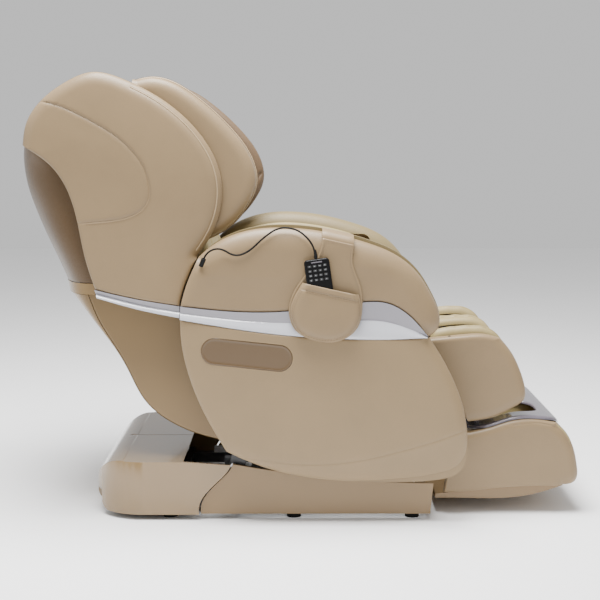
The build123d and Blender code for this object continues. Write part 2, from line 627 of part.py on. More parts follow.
CALF_SIDE = [(337, 483), (375, 486), (429, 492), (479, 493), (524, 482)]
CALF_FRONT = [(524, 482), (556, 441), (578, 395), (593, 341), (592, 319), (560, 292), (515, 269), (438, 253)]
CALF_CREST = [(358, 478), (366, 498), (400, 511), (452, 513), (490, 508), (519, 490), (541, 458), (562, 392),
              (577, 338), (572, 310)]


def calf_sides():
    """The leather outer sides of the calf unit, with a lip turned in along the front edge."""
    face = flat(Spline(*CALF_SIDE), Spline(*CALF_FRONT), Line((438, 253), (337, 483)))
    inside = flat(Spline((516, 482), (546, 438), (569, 392), (584, 341), (583, 322)), Line((583, 322), (560, 230)),
                  Line((560, 230), (300, 230)), Line((300, 230), (300, 520)), Line((300, 520), (516, 520)),
                  Line((516, 520), (516, 482)))
    hollow = both(inside, LEG_PAD_OUTER - 10, LEG_OUTER - 8)
    return [wall - inner for wall, inner in zip(both(face, LEG_PAD_OUTER + 1, LEG_OUTER), hollow)]


def calf_pad():
    """The calf cushions: a back panel, two outer walls and a middle wall, in one piece."""
    wall = flat(Spline(*CALF_CREST), Line((572, 310), (476, 270)), Line((476, 270), (388, 470)), Line((388, 470), (358, 478)))
    back = poly((388, 470), (428, 485), (516, 285), (476, 270))
    walls = [side_slab(wall, side, WELL_OUTER, LEG_PAD_OUTER) for side in (-1, 1)]
    return slab(wall, -WELL_INNER, WELL_INNER).fuse(*walls, slab(back, -LEG_PAD_OUTER, LEG_PAD_OUTER))


def calf_frame():
    """Steel calf frame: hinge plates, cross tubes, slide sleeves and the lift lever."""
    plates = both(poly((367, 470), (374, 486), (392, 488), (404, 474), (400, 440), (408, 420), (470, 262), (448, 254), (372, 430)),
                  237.5, 249)
    crosses = [slide_block((d, d + 16), (b, b + 12), -249, 249) for d, b in ((-8, 12), (120, 12))]
    sleeves = [slide_block((-8, 136), (-5, 13), side * 150 - 14, side * 150 + 14).cut(
        slide_block((-60, 250), (-2.4, 9.4), side * 150 - 10.4, side * 150 + 10.4)) for side in (-1, 1)]
    lever = slab(poly((298, 350), (310, 344), (396, 394), (396, 406), (380, 408), (298, 362)), LEG_Y - 4, LEG_Y + 4)
    frame = plates[0].fuse(plates[1], *crosses, *sleeves, lever)
    return frame - bar(*LEG_PIVOT, -300, 300, PIN_RADIUS + RUNNING_GAP)


def foot_slide_bars():
    """Two square bars that carry the foot unit."""
    return [slide_block((-30, 205), (-2, 9), side * 150 - 10, side * 150 + 10) for side in (-1, 1)]


def calf_rear_panel():
    """The plastic cover behind the calf unit, slotted for the lift lever."""
    panel = slab(poly((372, 404), (434, 262), (438, 263.8), (376, 405.8)), -LEG_PAD_OUTER, LEG_PAD_OUTER)
    return panel - box((300, 450), (LEG_Y - 9, LEG_Y + 9), (330, 420))


FOOT_TOP = [(437, 225), (500, 240), (550, 256), (600, 262), (640, 259), (682, 248)]
FOOT_FRONT = [(682, 248), (709, 220), (723, 193), (732, 166), (738, 134), (740, 106), (734, 89), (723, 81), (700, 78)]
FOOT_SOLE = [(700, 78), (590, 77), (497, 70), (407, 61)]


def foot_shell():
    """The leather tub of the foot unit: sides, front and rear around the foot wells."""
    face = flat(Spline(*FOOT_TOP), Spline(*FOOT_FRONT), Spline(*FOOT_SOLE), Line((407, 61), (437, 225)))
    return slab(face, -LEG_OUTER, LEG_OUTER) - box((430, 722), (-262, 262), (84, 300))


LINER_TOP = [(462, 229), (500, 238), (550, 254), (600, 260), (640, 257), (684, 245)]


def foot_liner():
    """The soft lining of the foot unit, with a well for each foot."""
    face = flat(Spline(*LINER_TOP), Line((684, 245), (718, 190)), Line((718, 190), (718, 86)), Line((718, 86), (434, 86)),
                Line((434, 86), (462, 229)))
    block = slab(face, -260, 260)
    well = flat(Line((512, 400), (650, 400)), Line((650, 400), (652, 270)), Spline((652, 270), (682, 200), (690, 130)),
                Line((690, 130), (480, 118)), Line((480, 118), (512, 400)))
    wells = [side_slab(well, side, WELL_INNER, WELL_OUTER + 14) for side in (-1, 1)]
    axles = bar(*ROLLER_AXIS, -230, 230, 5 + RUNNING_GAP)
    pits = [box((ROLLER_AXIS[0] - 26, ROLLER_AXIS[0] + 26), (side * 50, side * 198), (90, 130)) for side in (-1, 1)]
    return block.cut(*wells, axles, *pits, *foot_slide_bars())


ROLLER_AXIS = (560, 112)


def foot_roller(side):
    """A sole roller: a shaft with five ridged discs."""
    low, high = sorted((side * 46, side * 202))
    discs = [bar(*ROLLER_AXIS, side * y - 8, side * y + 8, 18) for y in (66, 96, 126, 156, 182)]
    return bar(*ROLLER_AXIS, low - 12, high + 12, 5).fuse(*discs)


def foot_trim():
    """The silver rim that lies over the foot unit's mouth, open behind, with a bridge between the wells."""
    low = [(455, 230), (500, 240.6), (550, 256.6), (600, 262.6), (640, 259.6), (666, 253.5)]
    high = [(x, z + 8) for x, z in reversed(low)]
    plate = slab(flat(Spline(*low), Line(low[-1], high[0]), Spline(*high), Line(high[-1], low[0])), -264, 264)
    mouths = [Pos(0, side * 122, 0) * extrude(make_face(FilletPolyline(
        (400, 78), (400, -78), (636, -78), (636, 78), radius=45, close=True).edges()), 300) for side in (-1, 1)]
    return plate.cut(*mouths)


def foot_bottom_cover():
    """The dark sole cover, with a heel that reaches back under the chair."""
    face = flat(Spline((700, 76), (659, 62), (623, 52), (578, 44), (533, 40), (452, 40), (350, 40)),
                Line((350, 40), (350, 52)), Spline((350, 52), (407, 58), (497, 67), (590, 74), (700, 76)))
    return slab(face, -250, 250)


def control_board():
    """The control box under the seat."""
    return box((-60, 30), (-180, -60), (340, 356)).fuse(box((-50, -30), (-170, -70), (354, 366)),
                                                        box((0, 20), (-170, -70), (354, 366)))


PARTS = {
    "base_frame": base_frame(),
    "base_rear_cover": base_rear_cover(),
    "base_front_cover": base_front_cover(),
    "base_feet": base_feet(),
    "slide_rails": slide_rails(),
    "power_supply": power_supply(),
    "air_pump": air_pump(),
    "power_inlet": power_inlet(),
    "mains_switch": mains_switch(),
    "transport_wheel_left": transport_wheel(WHEEL_Y),
    "transport_wheel_right": transport_wheel(-WHEEL_Y),
    "carriage_frame": carriage_frame(),
    "tilt_actuator_tube": tilt_actuator_tube(),
    "tilt_actuator_rod": tilt_actuator_rod(),
    "recline_actuator_tube": recline_actuator_tube(),
    "recline_actuator_rod": recline_actuator_rod(),
    "leg_actuator_tube": leg_actuator_tube(),
    "leg_actuator_rod": leg_actuator_rod(),
    "seat_frame": seat_frame(),
    "hinge_pins": hinge_pins(),
    "seat_cushion": seat_cushion(),
    "arm_pad_left": arm_pad(1),
    "arm_pad_right": arm_pad(-1),
    "arm_liner_left": arm_liner(1),
    "arm_liner_right": arm_liner(-1),
    "arm_trim_left": arm_trim(1),
    "arm_trim_right": arm_trim(-1),
    "arm_panel_left": arm_panel(1),
    "arm_panel_right": arm_panel(-1),
    "name_plates": name_plates(),
    "pouch": pouch(),
    "handset_case": handset_case(),
    "handset_buttons": handset_buttons(),
    "handset_cable": handset_cable(),
    "cable_gland": cable_gland(),
    "control_board": control_board(),
    "back_frame": back_frame(),
    "back_wing_left": back_wing(1),
    "back_wing_right": back_wing(-1),
    "back_strips": back_strips(),
    "back_rear_cover": back_rear_cover(),
    "back_lower_cover": back_lower_cover(),
    "shoulder_pads": shoulder_pads(),
    "back_pad": back_pad(),
    "pillow": pillow(),
    "pillow_bar": pillow_bar(),
    "massage_carriage": massage_carriage(),
    "kneading_shaft": kneading_shaft(),
    "calf_sides": calf_sides(),
    "calf_pad": calf_pad(),
    "calf_frame": calf_frame(),
    "calf_rear_panel": calf_rear_panel(),
    "foot_slide_bars": foot_slide_bars(),
    "foot_shell": foot_shell(),
    "foot_liner": foot_liner(),
    "foot_trim": foot_trim(),
    "foot_bottom_cover": foot_bottom_cover(),
    "foot_roller_left": foot_roller(1),
    "foot_roller_right": foot_roller(-1),
}

os.makedirs("parts", exist_ok=True)
to_middle = Pos(LENGTH_SHIFT, SIDE_SHIFT, 0)
for name, shape in PARTS.items():
    moved = Compound(children=[to_middle * solid for solid in shape]) if isinstance(shape, list) else to_middle * shape
    export_step(moved, f"parts/{name}.step")
    print(name, len(moved.solids()), round(moved.volume / 1000))
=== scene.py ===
import math

import bmesh
import bpy
import numpy as np
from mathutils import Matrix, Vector, geometry


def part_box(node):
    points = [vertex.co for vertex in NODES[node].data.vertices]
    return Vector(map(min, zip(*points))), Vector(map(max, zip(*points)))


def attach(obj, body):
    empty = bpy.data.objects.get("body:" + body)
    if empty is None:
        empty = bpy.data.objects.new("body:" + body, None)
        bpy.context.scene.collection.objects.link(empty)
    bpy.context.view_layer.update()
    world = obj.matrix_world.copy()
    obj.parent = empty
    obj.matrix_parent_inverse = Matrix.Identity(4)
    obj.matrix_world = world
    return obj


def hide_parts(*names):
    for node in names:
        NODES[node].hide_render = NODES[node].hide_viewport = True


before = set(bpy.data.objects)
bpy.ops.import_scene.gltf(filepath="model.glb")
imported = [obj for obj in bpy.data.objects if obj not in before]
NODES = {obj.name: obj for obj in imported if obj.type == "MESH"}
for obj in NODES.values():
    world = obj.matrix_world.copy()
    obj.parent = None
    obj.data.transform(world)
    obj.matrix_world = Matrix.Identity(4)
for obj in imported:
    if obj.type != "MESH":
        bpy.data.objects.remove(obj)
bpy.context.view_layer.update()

# The shapes are drawn about the chair's mirror plane and the middle of its base, which lie this far
# from the frame's origin.
LENGTH_SHIFT, SIDE_SHIFT = 0.033, 0.01275
MM = 0.001
LEFT, RIGHT = 1, -1
SIDES = ((LEFT, "left"), (RIGHT, "right"))

# How far each layer of a side stands from the mirror plane, in metres.
ARM_SPLIT, ARM_FACE, ARM_INSIDE = 0.353, 0.395, 0.3022
LINING_BACK, LINING_FACE = 0.3018, 0.2892
SHELL_BACK, PLATE_BACK, PLATE_FACE = 0.3705, 0.3800, 0.3942
STRIP_BACK, STRIP_FACE = 0.3725, 0.3955
WING_BACK, WING_FACE = 0.3185, 0.362
SHOULDER_BACK, SHOULDER_FACE = 0.272, 0.3155
LOWER_HALF = 0.2818
CALF_INSIDE, FOOT_INSIDE, LEG_FACE = 0.2375, 0.2400, 0.2698
LINING_FLOOR = 0.0865


# ---- curves in the side view

def spline(*points, step=0.005):
    """Points along a smooth curve through the given (x, z), in millimetres, as metres."""
    p = np.array(points, float) * MM
    if len(p) == 2:
        count = max(2, int(np.linalg.norm(p[1] - p[0]) / step) + 1)
        return p[0] + (p[1] - p[0]) * np.linspace(0, 1, count)[:, None]
    d = np.r_[0, np.cumsum(np.linalg.norm(np.diff(p, axis=0), axis=1))]
    h = np.diff(d)
    n = len(p)
    a = np.eye(n)
    b = np.zeros((n, 2))
    for i in range(1, n - 1):
        a[i, i - 1:i + 2] = h[i - 1], 2 * (h[i - 1] + h[i]), h[i]
        b[i] = 6 * ((p[i + 1] - p[i]) / h[i] - (p[i] - p[i - 1]) / h[i - 1])
    m = np.linalg.solve(a, b)
    t = np.linspace(0, d[-1], max(2, int(d[-1] / step) + 1))
    k = np.clip(np.searchsorted(d, t, side="right") - 1, 0, n - 2)
    u, v = (t - d[k])[:, None], (d[k + 1] - t)[:, None]
    hk = h[k][:, None]
    return (m[k] * v ** 3 + m[k + 1] * u ** 3) / (6 * hk) + (p[k] / hk - m[k] * hk / 6) * v \
        + (p[k + 1] / hk - m[k + 1] * hk / 6) * u


def distance(points, line):
    """Distance from each point to an open polyline."""
    a, b = line[:-1], line[1:]
    out = np.full(len(points), 1e9)
    for p, q in zip(a, b):
        d = q - p
        t = np.clip(((points - p) @ d) / max(d @ d, 1e-12), 0, 1)
        out = np.minimum(out, np.linalg.norm(points - p - t[:, None] * d, axis=1))
    return out


def nearest(points, lines):
    return np.min([distance(points, line) for line in lines], axis=0)


def closed(ring):
    return np.vstack([ring, ring[:1]])


def inside(points, loop):
    """Which points lie in a closed loop."""
    x, y = points[:, 0], points[:, 1]
    result = np.zeros(len(points), bool)
    for (ax, ay), (bx, by) in zip(loop, np.roll(loop, -1, axis=0)):
        if ay == by:
            continue
        crosses = (ay > y) != (by > y)
        result ^= crosses & (x < (bx - ax) * (y - ay) / (by - ay) + ax)
    return result


def offset(line, by):
    """A polyline moved sideways."""
    t = np.gradient(line, axis=0)
    t /= np.maximum(np.linalg.norm(t, axis=1), 1e-9)[:, None]
    return line + by * np.stack([-t[:, 1], t[:, 0]], axis=1)


def evenly(line, count):
    """The line with another number of points."""
    t, old = np.linspace(0, 1, count), np.linspace(0, 1, len(line))
    return np.column_stack([np.interp(t, old, line[:, k]) for k in (0, 1)])


def roll_off(d, radius, drop):
    """How far a rounded edge falls back at distance d from it."""
    u = 1 - np.clip(d / radius, 0, 1)
    return drop * (1 - np.sqrt(np.maximum(0, 1 - u * u)))


def groove(d, width, depth):
    """How far a sewn channel or crease sinks at distance d from its line."""
    return depth * np.exp(-(d / width) ** 2)


# ---- mesh building

def make_mesh(name, verts, faces, smooth_angle=40):
    mesh = bpy.data.meshes.new(name)
    moved = np.array(verts, float) + (LENGTH_SHIFT, SIDE_SHIFT, 0)
    mesh.from_pydata([tuple(v) for v in moved], [], [tuple(f) for f in faces])
    bm = bmesh.new()
    bm.from_mesh(mesh)
    bmesh.ops.remove_doubles(bm, verts=bm.verts, dist=1e-6)
    bmesh.ops.recalc_face_normals(bm, faces=bm.faces)
    bm.to_mesh(mesh)
    bm.free()
    mesh.shade_smooth()
    mesh.set_sharp_from_angle(angle=math.radians(smooth_angle))
    obj = bpy.data.objects.new(name, mesh)
    bpy.context.collection.objects.link(obj)
    return obj


def read_points(obj):
    co = np.empty(len(obj.data.vertices) * 3)
    obj.data.vertices.foreach_get("co", co)
    return co.reshape(-1, 3)


def dress(obj, body, material, slot, *replaced, padded=None):
    """Gives a piece its material and its body, and hides the nodes it stands for."""
    obj.data.materials.clear()
    for m in material if isinstance(material, (list, tuple)) else [material]:
        obj.data.materials.append(m)
    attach(obj, body)
    if replaced:
        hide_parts(*replaced)
    return obj


# How far in from a panel's border, and to each side of its creases, the mesh has rows of points.
EDGE_ROWS = (0.0012, 0.003, 0.0055, 0.009, 0.0135)
CREASE_ROWS = (0, 0.0018, -0.0018, 0.004, -0.004)


def panel(name, segments, y_back, y_front, falls=(), lines=(), holes=(), step=0.007, back_falls=()):
    """A solid between two faces that follow an outline.

    segments are the outline's pieces in order. falls and back_falls are functions of (points, distances)
    that say how far each face falls back, where distances holds one array for each segment. lines are
    creases that the mesh follows. Returns the object and a function that gives y on its front face."""
    loop = np.vstack([s[:-1] for s in segments])
    rings = [loop, *holes]
    borders = [closed(ring) for ring in rings]
    lo, hi = loop.min(axis=0), loop.max(axis=0)
    grid = np.array([(x + (j % 2) * step / 2, z) for j, z in enumerate(np.arange(lo[1], hi[1], step * 0.87))
                     for x in np.arange(lo[0], hi[0], step)])

    def within(points):
        keep = inside(points, loop)
        for hole in holes:
            keep &= ~inside(points, hole)
        return keep

    chosen = []
    for border in borders:
        for d in EDGE_ROWS:
            for pts in (offset(border, d), offset(border, -d)):
                chosen.append(pts[within(pts) & (nearest(pts, borders) > d * 0.93)])
    for line in lines:
        for w in CREASE_ROWS:
            pts = offset(line, w)
            chosen.append(pts[within(pts) & (nearest(pts, borders) > 0.002)])
    grid = grid[within(grid)]
    if len(grid):
        grid = grid[nearest(grid, borders) > EDGE_ROWS[-1] + step * 0.5]
    if len(lines) and len(grid):
        grid = grid[nearest(grid, lines) > CREASE_ROWS[-2] + step * 0.4]
    edges, start = [], 0
    for count in map(len, rings):
        edges += [(start + i, start + (i + 1) % count) for i in range(count)]
        start += count
    points = [Vector(p) for p in np.vstack([*rings, *chosen, grid])]
    found = geometry.delaunay_2d_cdt(points, edges, [], 0, 1e-5)
    flat = np.array([tuple(v) for v in found[0]])
    tris = np.array([f for f in found[2] if len(f) == 3])
    tris = tris[within(flat[tris].mean(axis=1))]
    new = {old: k for k, group in enumerate(found[3]) for old in group}
    outward = 1 if y_front > y_back else -1

    def face_y(pts, base, functions, sign):
        dist = [distance(pts, s) for s in segments]
        y = np.full(len(pts), float(base))
        for fall in functions:
            y -= sign * fall(pts, dist)
        return y

    front = np.column_stack([flat[:, 0], face_y(flat, y_front, falls, outward), flat[:, 1]])
    back = np.column_stack([flat[:, 0], face_y(flat, y_back, back_falls, -outward), flat[:, 1]])
    n = len(flat)
    faces = [tuple(t) for t in tris] + [tuple(t[::-1] + n) for t in tris]
    faces += [(new[a], new[b], new[b] + n, new[a] + n) for a, b in edges if new[a] != new[b]]
    obj = make_mesh(name, np.vstack([front, back]), faces)
    return obj, lambda pts: face_y(pts, y_front, falls, outward)


def solid_faces(rows, cols):
    """The faces of a solid between two grids of points, where the second grid is numbered after the first."""
    n = rows * cols
    quads = [(i * cols + j, (i + 1) * cols + j, (i + 1) * cols + j + 1, i * cols + j + 1)
             for i in range(rows - 1) for j in range(cols - 1)]
    ring = [*range(cols), *((i + 1) * cols - 1 for i in range(1, rows)),
            *((rows - 1) * cols + j for j in range(cols - 2, -1, -1)),
            *(i * cols for i in range(rows - 2, 0, -1))]
    return quads + [tuple(q + n for q in quad[::-1]) for quad in quads] \
        + [(p, q, q + n, p + n) for p, q in zip(ring, ring[1:] + ring[:1])]


def rounded(*edges):
    """A panel's fall that rounds it off: each (segment, radius, drop) is for one piece of its outline."""
    return lambda points, dist: np.maximum.reduce([roll_off(dist[k], r, drop) for k, r, drop in edges])


def divided(points, pitch):
    """A closed ring of points with its long sides divided."""
    ring = [np.array(p) for p in points]
    result = []
    for a, b in zip(ring, ring[1:] + ring[:1]):
        count = max(1, int(math.dist(a, b) / pitch))
        result += [a + (b - a) * k / count for k in range(count)]
    return result


def prisms(name, outlines, y_front, y_rear):
    """Small flat blocks in one mesh, each over a four-cornered outline in the side view."""
    verts, faces = [], []
    for corners in outlines:
        base = len(verts)
        verts += [(x, y, z) for y in (y_front, y_rear) for x, z in corners]
        faces += [tuple(base + k for k in (0, 1, 2, 3)), tuple(base + k for k in (7, 6, 5, 4))]
        faces += [(base + k, base + (k + 1) % 4, base + 4 + (k + 1) % 4, base + 4 + k) for k in range(4)]
    return make_mesh(name, verts, faces, 30)


def bolster(name, profile, thickness, y0, y1, fall, dv=0.008):
    """A pad whose front follows a side-view curve and whose width runs along Y.

    fall(s, y, length) says how far the front sinks at a distance s along the curve."""
    p = profile
    t = np.gradient(p, axis=0)
    t /= np.linalg.norm(t, axis=1)[:, None]
    normal = np.stack([-t[:, 1], t[:, 0]], axis=1)
    s = np.r_[0, np.cumsum(np.linalg.norm(np.diff(p, axis=0), axis=1))]
    ys = np.linspace(y0, y1, max(3, int(abs(y1 - y0) / dv) + 1))
    S, Y = np.meshgrid(s, ys, indexing="ij")
    F = fall(S, Y, s[-1])
    P = p[:, None, :] - normal[:, None, :] * F[:, :, None]
    front = np.column_stack([P[:, :, 0].ravel(), Y.ravel(), P[:, :, 1].ravel()])
    Q = p[:, None, :] - normal[:, None, :] * (np.zeros_like(F) + thickness)[:, :, None]
    rear = np.column_stack([Q[:, :, 0].ravel(), Y.ravel(), Q[:, :, 1].ravel()])
    return make_mesh(name, np.vstack([front, rear]), solid_faces(len(s), len(ys)), 50)


def cushion_fall(radius, drop, y0, y1, channels=(), seams=(), width=0.007, depth=0.006, crown=0.0):
    """The relief of a bolster: rounded borders, channels across it and seams along it."""
    lo, hi = min(y0, y1), max(y0, y1)

    def fall(s, y, length):
        f = np.maximum(roll_off(s, radius, drop), roll_off(length - s, radius, drop))
        f = np.maximum(f, np.maximum(roll_off(y - lo, radius, drop), roll_off(hi - y, radius, drop)))
        for c in channels:
            f = f + groove(s - c * length, width, depth)
        for c in seams:
            f = f + groove(y - c, width, depth)
        if crown:
            f = f + crown * (1 - np.sin(np.pi * np.clip((y - lo) / (hi - lo), 0, 1)))
        return f
    return fall


def tube(name, points, radius, sides=8):
    """A round rod along 3-D points, in metres."""
    p = np.array(points, float)
    t = np.gradient(p, axis=0)
    t /= np.maximum(np.linalg.norm(t, axis=1), 1e-9)[:, None]
    up = np.array([0.0, 1.0, 0.0])
    u = np.cross(t, up)
    weak = np.linalg.norm(u, axis=1) < 0.1
    u[weak] = np.cross(t[weak], [1.0, 0.0, 0.0])
    u /= np.linalg.norm(u, axis=1)[:, None]
    v = np.cross(t, u)
    r = np.broadcast_to(radius, (len(p),))
    verts = [p[i] + r[i] * (math.cos(a) * u[i] + math.sin(a) * v[i]) for i in range(len(p))
             for a in np.linspace(0, 2 * math.pi, sides, endpoint=False)]
    faces = [(i + j, i + (j + 1) % sides, i + sides + (j + 1) % sides, i + sides + j)
             for i in range(0, (len(p) - 1) * sides, sides) for j in range(sides)]
    last = (len(p) - 1) * sides
    faces += [tuple(range(sides - 1, -1, -1)), tuple(range(last, last + sides))]
    return make_mesh(name, verts, faces, 60)


def stitches(name, points, pitch=0.0075, length=0.005, radius=0.0007, out=(0, -1, 0)):
    """A row of thread stitches along 3-D points."""
    p = np.array(points, float)
    d = np.r_[0, np.cumsum(np.linalg.norm(np.diff(p, axis=0), axis=1))]
    starts = np.arange(pitch / 2, d[-1] - length, pitch)
    out = np.array(out, float)
    verts, faces = [], []
    for s in starts:
        a, b = (np.array([np.interp(s + e, d, p[:, k]) for k in range(3)]) for e in (0, length))
        along = (b - a) / np.linalg.norm(b - a)
        side = np.cross(along, out)
        base = len(verts)
        stations = ((a, 0, 0.5), (a * 0.7 + b * 0.3, 1, 1), (a * 0.3 + b * 0.7, 1, 1), (b, 0, 0.5))
        for q, lift, w in stations:
            for k in range(4):
                angle = math.pi / 2 * k + math.pi / 4
                around = math.cos(angle) * side + math.sin(angle) * out
                verts.append(q + radius * w * around + out * radius * lift * 0.6)
        for i in range(3):
            for k in range(4):
                m = (k + 1) % 4
                faces.append((base + i * 4 + k, base + i * 4 + m, base + i * 4 + 4 + m, base + i * 4 + 4 + k))
        faces += [tuple(base + k for k in (3, 2, 1, 0)), tuple(base + 12 + k for k in (0, 1, 2, 3))]
    return make_mesh(name, verts, faces, 60)


def on_face(line, surface, lift=0.0, side=RIGHT):
    """A side-view line laid on a panel's front face."""
    y = surface(line) + side * lift
    return np.column_stack([line[:, 0], y, line[:, 1]])


# ---- materials

def nodes_of(name):
    material = bpy.data.materials.new(name)
    material.use_nodes = True
    tree = material.node_tree
    tree.nodes.clear()
    out = tree.nodes.new("ShaderNodeOutputMaterial")
    shader = tree.nodes.new("ShaderNodeBsdfPrincipled")
    tree.links.new(shader.outputs["BSDF"], out.inputs["Surface"])
    coords = tree.nodes.new("ShaderNodeTexCoord")
    return material, tree, shader, coords.outputs["Object"]


def add(tree, kind, inputs=(), **settings):
    node = tree.nodes.new("ShaderNode" + kind)
    for key, value in settings.items():
        setattr(node, key, value)
    for key, value in dict(inputs).items():
        if isinstance(value, bpy.types.NodeSocket):
            tree.links.new(value, node.inputs[key])
        else:
            node.inputs[key].default_value = value
    return node


def noise(tree, vector, scale, detail, roughness=0.5):
    inputs = {"Vector": vector, "Scale": scale, "Detail": detail, "Roughness": roughness}
    return add(tree, "TexNoise", inputs).outputs["Fac"]


def total(tree, a, b):
    return add(tree, "Math", {0: a, 1: b}, operation="ADD").outputs[0]


def finish(tree, shader, colour, roughness, height, strength, depth):
    """Links the sockets that every material has: colour, roughness and relief."""
    relief = add(tree, "Bump", {"Height": height, "Strength": strength, "Distance": depth})
    tree.links.new(colour, shader.inputs["Base Color"])
    tree.links.new(roughness, shader.inputs["Roughness"])
    tree.links.new(relief.outputs["Normal"], shader.inputs["Normal"])


def ramp(tree, source, stops):
    node = add(tree, "ValToRGB", {"Fac": source})
    while len(node.color_ramp.elements) < len(stops):
        node.color_ramp.elements.new(0.5)
    for element, (place, colour) in zip(node.color_ramp.elements, stops):
        element.position = place
        element.color = (*colour, 1) if len(colour) == 3 else colour
    return node.outputs["Color"]


def srgb(r, g, b):
    return tuple(c / 12.92 if c <= 0.04045 else ((c + 0.055) / 1.055) ** 2.4
                 for c in (r / 255, g / 255, b / 255))


def grey(v):
    return (v, v, v)


def shade(colour, by):
    return tuple(max(0.0, min(1.0, c * by)) for c in colour)


def leather(name, colour, rough=0.46, grain=720.0, bump=0.16, edge_wear_and_crease_shade=True):
    material, tree, shader, co = nodes_of(name)
    broad = noise(tree, co, 5.0, 4.0, 0.6)
    cells = add(tree, "TexVoronoi", {"Vector": co, "Scale": grain}, feature="DISTANCE_TO_EDGE")
    fine = noise(tree, co, grain * 0.9, 3.0)
    tint = ramp(tree, broad, [(0.3, shade(colour, 0.94)), (0.7, shade(colour, 1.05))])
    pores = ramp(tree, cells.outputs["Distance"], [(0.0, grey(0.80)), (0.25, grey(1.0))])
    mixed = add(tree, "Mix", {"Factor": 0.5}, data_type="RGBA", blend_type="MULTIPLY")
    tree.links.new(tint, mixed.inputs["A"])
    tree.links.new(pores, mixed.inputs["B"])
    result = mixed.outputs["Result"]
    if edge_wear_and_crease_shade:
        # Pointiness darkens the leather in creases and hollows, which is painted shade, and lightens it on sharp
        # edges as rubbed wear.
        geo = add(tree, "NewGeometry")
        edge = ramp(tree, geo.outputs["Pointiness"], [(0.40, grey(0.80)), (0.50, grey(1.0)), (0.58, grey(1.16))])
        worn_and_crease_shaded = add(tree, "Mix", {"Factor": 0.7}, data_type="RGBA", blend_type="MULTIPLY")
        tree.links.new(result, worn_and_crease_shaded.inputs["A"])
        tree.links.new(edge, worn_and_crease_shaded.inputs["B"])
        result = worn_and_crease_shaded.outputs["Result"]
    roughness = ramp(tree, fine, [(0.3, grey(rough - 0.06)), (0.7, grey(rough + 0.08))])
    finish(tree, shader, result, roughness, total(tree, cells.outputs["Distance"], fine), bump, 0.0006)
    shader.inputs["Specular IOR Level"].default_value = 0.42
    shader.inputs["Sheen Weight"].default_value = 0.05
    return material


def plastic(name, colour, rough=0.18, coat=0.6, peel=0.03, spread=0.04, shine=0.5):
    material, tree, shader, co = nodes_of(name)
    broad = noise(tree, co, 3.0, 3.0)
    speck = noise(tree, co, 900.0, 2.0)
    ripple = noise(tree, co, 60.0, 2.0)
    tint = ramp(tree, broad, [(0.3, shade(colour, 1 - spread)), (0.7, shade(colour, 1 + spread))])
    roughness = ramp(tree, speck, [(0.35, grey(rough * 0.85)), (0.7, grey(min(1, rough * 1.2)))])
    finish(tree, shader, tint, roughness, total(tree, speck, ripple), peel, 0.0008)
    shader.inputs["Specular IOR Level"].default_value = shine
    shader.inputs["Coat Weight"].default_value = coat
    shader.inputs["Coat Roughness"].default_value = 0.08
    return material


def metal(name, colour, rough=0.3, brushed=0.12):
    material, tree, shader, co = nodes_of(name)
    stretch = add(tree, "Mapping", {"Vector": co, "Scale": (8.0, 500.0, 500.0)})
    lines = noise(tree, stretch.outputs[0], 2.0, 4.0)
    spots = noise(tree, co, 40.0, 5.0)
    tint = ramp(tree, spots, [(0.3, shade(colour, 0.85)), (0.7, colour)])
    roughness = ramp(tree, lines, [(0.3, grey(rough * 0.7)), (0.7, grey(rough * 1.3))])
    finish(tree, shader, tint, roughness, lines, brushed, 0.0003)
    shader.inputs["Metallic"].default_value = 1.0
    return material


def thread(name, colour):
    material, tree, shader, co = nodes_of(name)
    twist = add(tree, "TexWave", {"Vector": co, "Scale": 900.0, "Distortion": 1.0}, bands_direction="DIAGONAL")
    tint = ramp(tree, twist.outputs["Fac"], [(0.0, shade(colour, 0.8)), (1.0, colour)])
    tree.links.new(tint, shader.inputs["Base Color"])
    shader.inputs["Roughness"].default_value = 0.6
    return material


BEIGE_LEATHER = leather("beige_leather", srgb(131, 110, 80), rough=0.42)
SMOOTH_BEIGE = leather("beige_side_shell", srgb(133, 112, 81), rough=0.40, bump=0.10)
OLIVE_LEATHER = leather("olive_leather", srgb(148, 132, 90), rough=0.5)
# A darker copy of the olive leather for the arms' rims: it paints the shade inside the arms.
SHADED_OLIVE = leather("shaded_olive_leather", srgb(124, 109, 74), rough=0.5)
# The shoulder linings' olive leather painted dark brown: it paints the shade inside the shoulders.
SHADED_LINING_BROWN = leather("shaded_lining_brown", srgb(96, 76, 54), rough=0.45)
BRONZE = plastic("bronze_gloss", srgb(76, 57, 33), rough=0.3, coat=0.1, shine=0.35)
SAND_GLOSS = plastic("sand_gloss", srgb(126, 102, 66), rough=0.16, coat=0.5)
SAND_SATIN = plastic("sand_satin", srgb(120, 98, 66), rough=0.34, coat=0.1, shine=0.3)
SAND_MATTE = plastic("sand_matte", srgb(128, 104, 70), rough=0.42, coat=0.1, peel=0.12)
SILVER = plastic("silver_paint", srgb(128, 125, 132), rough=0.22, coat=0.5)
PEARL = plastic("pearl_white", srgb(188, 189, 195), rough=0.2, coat=0.5)
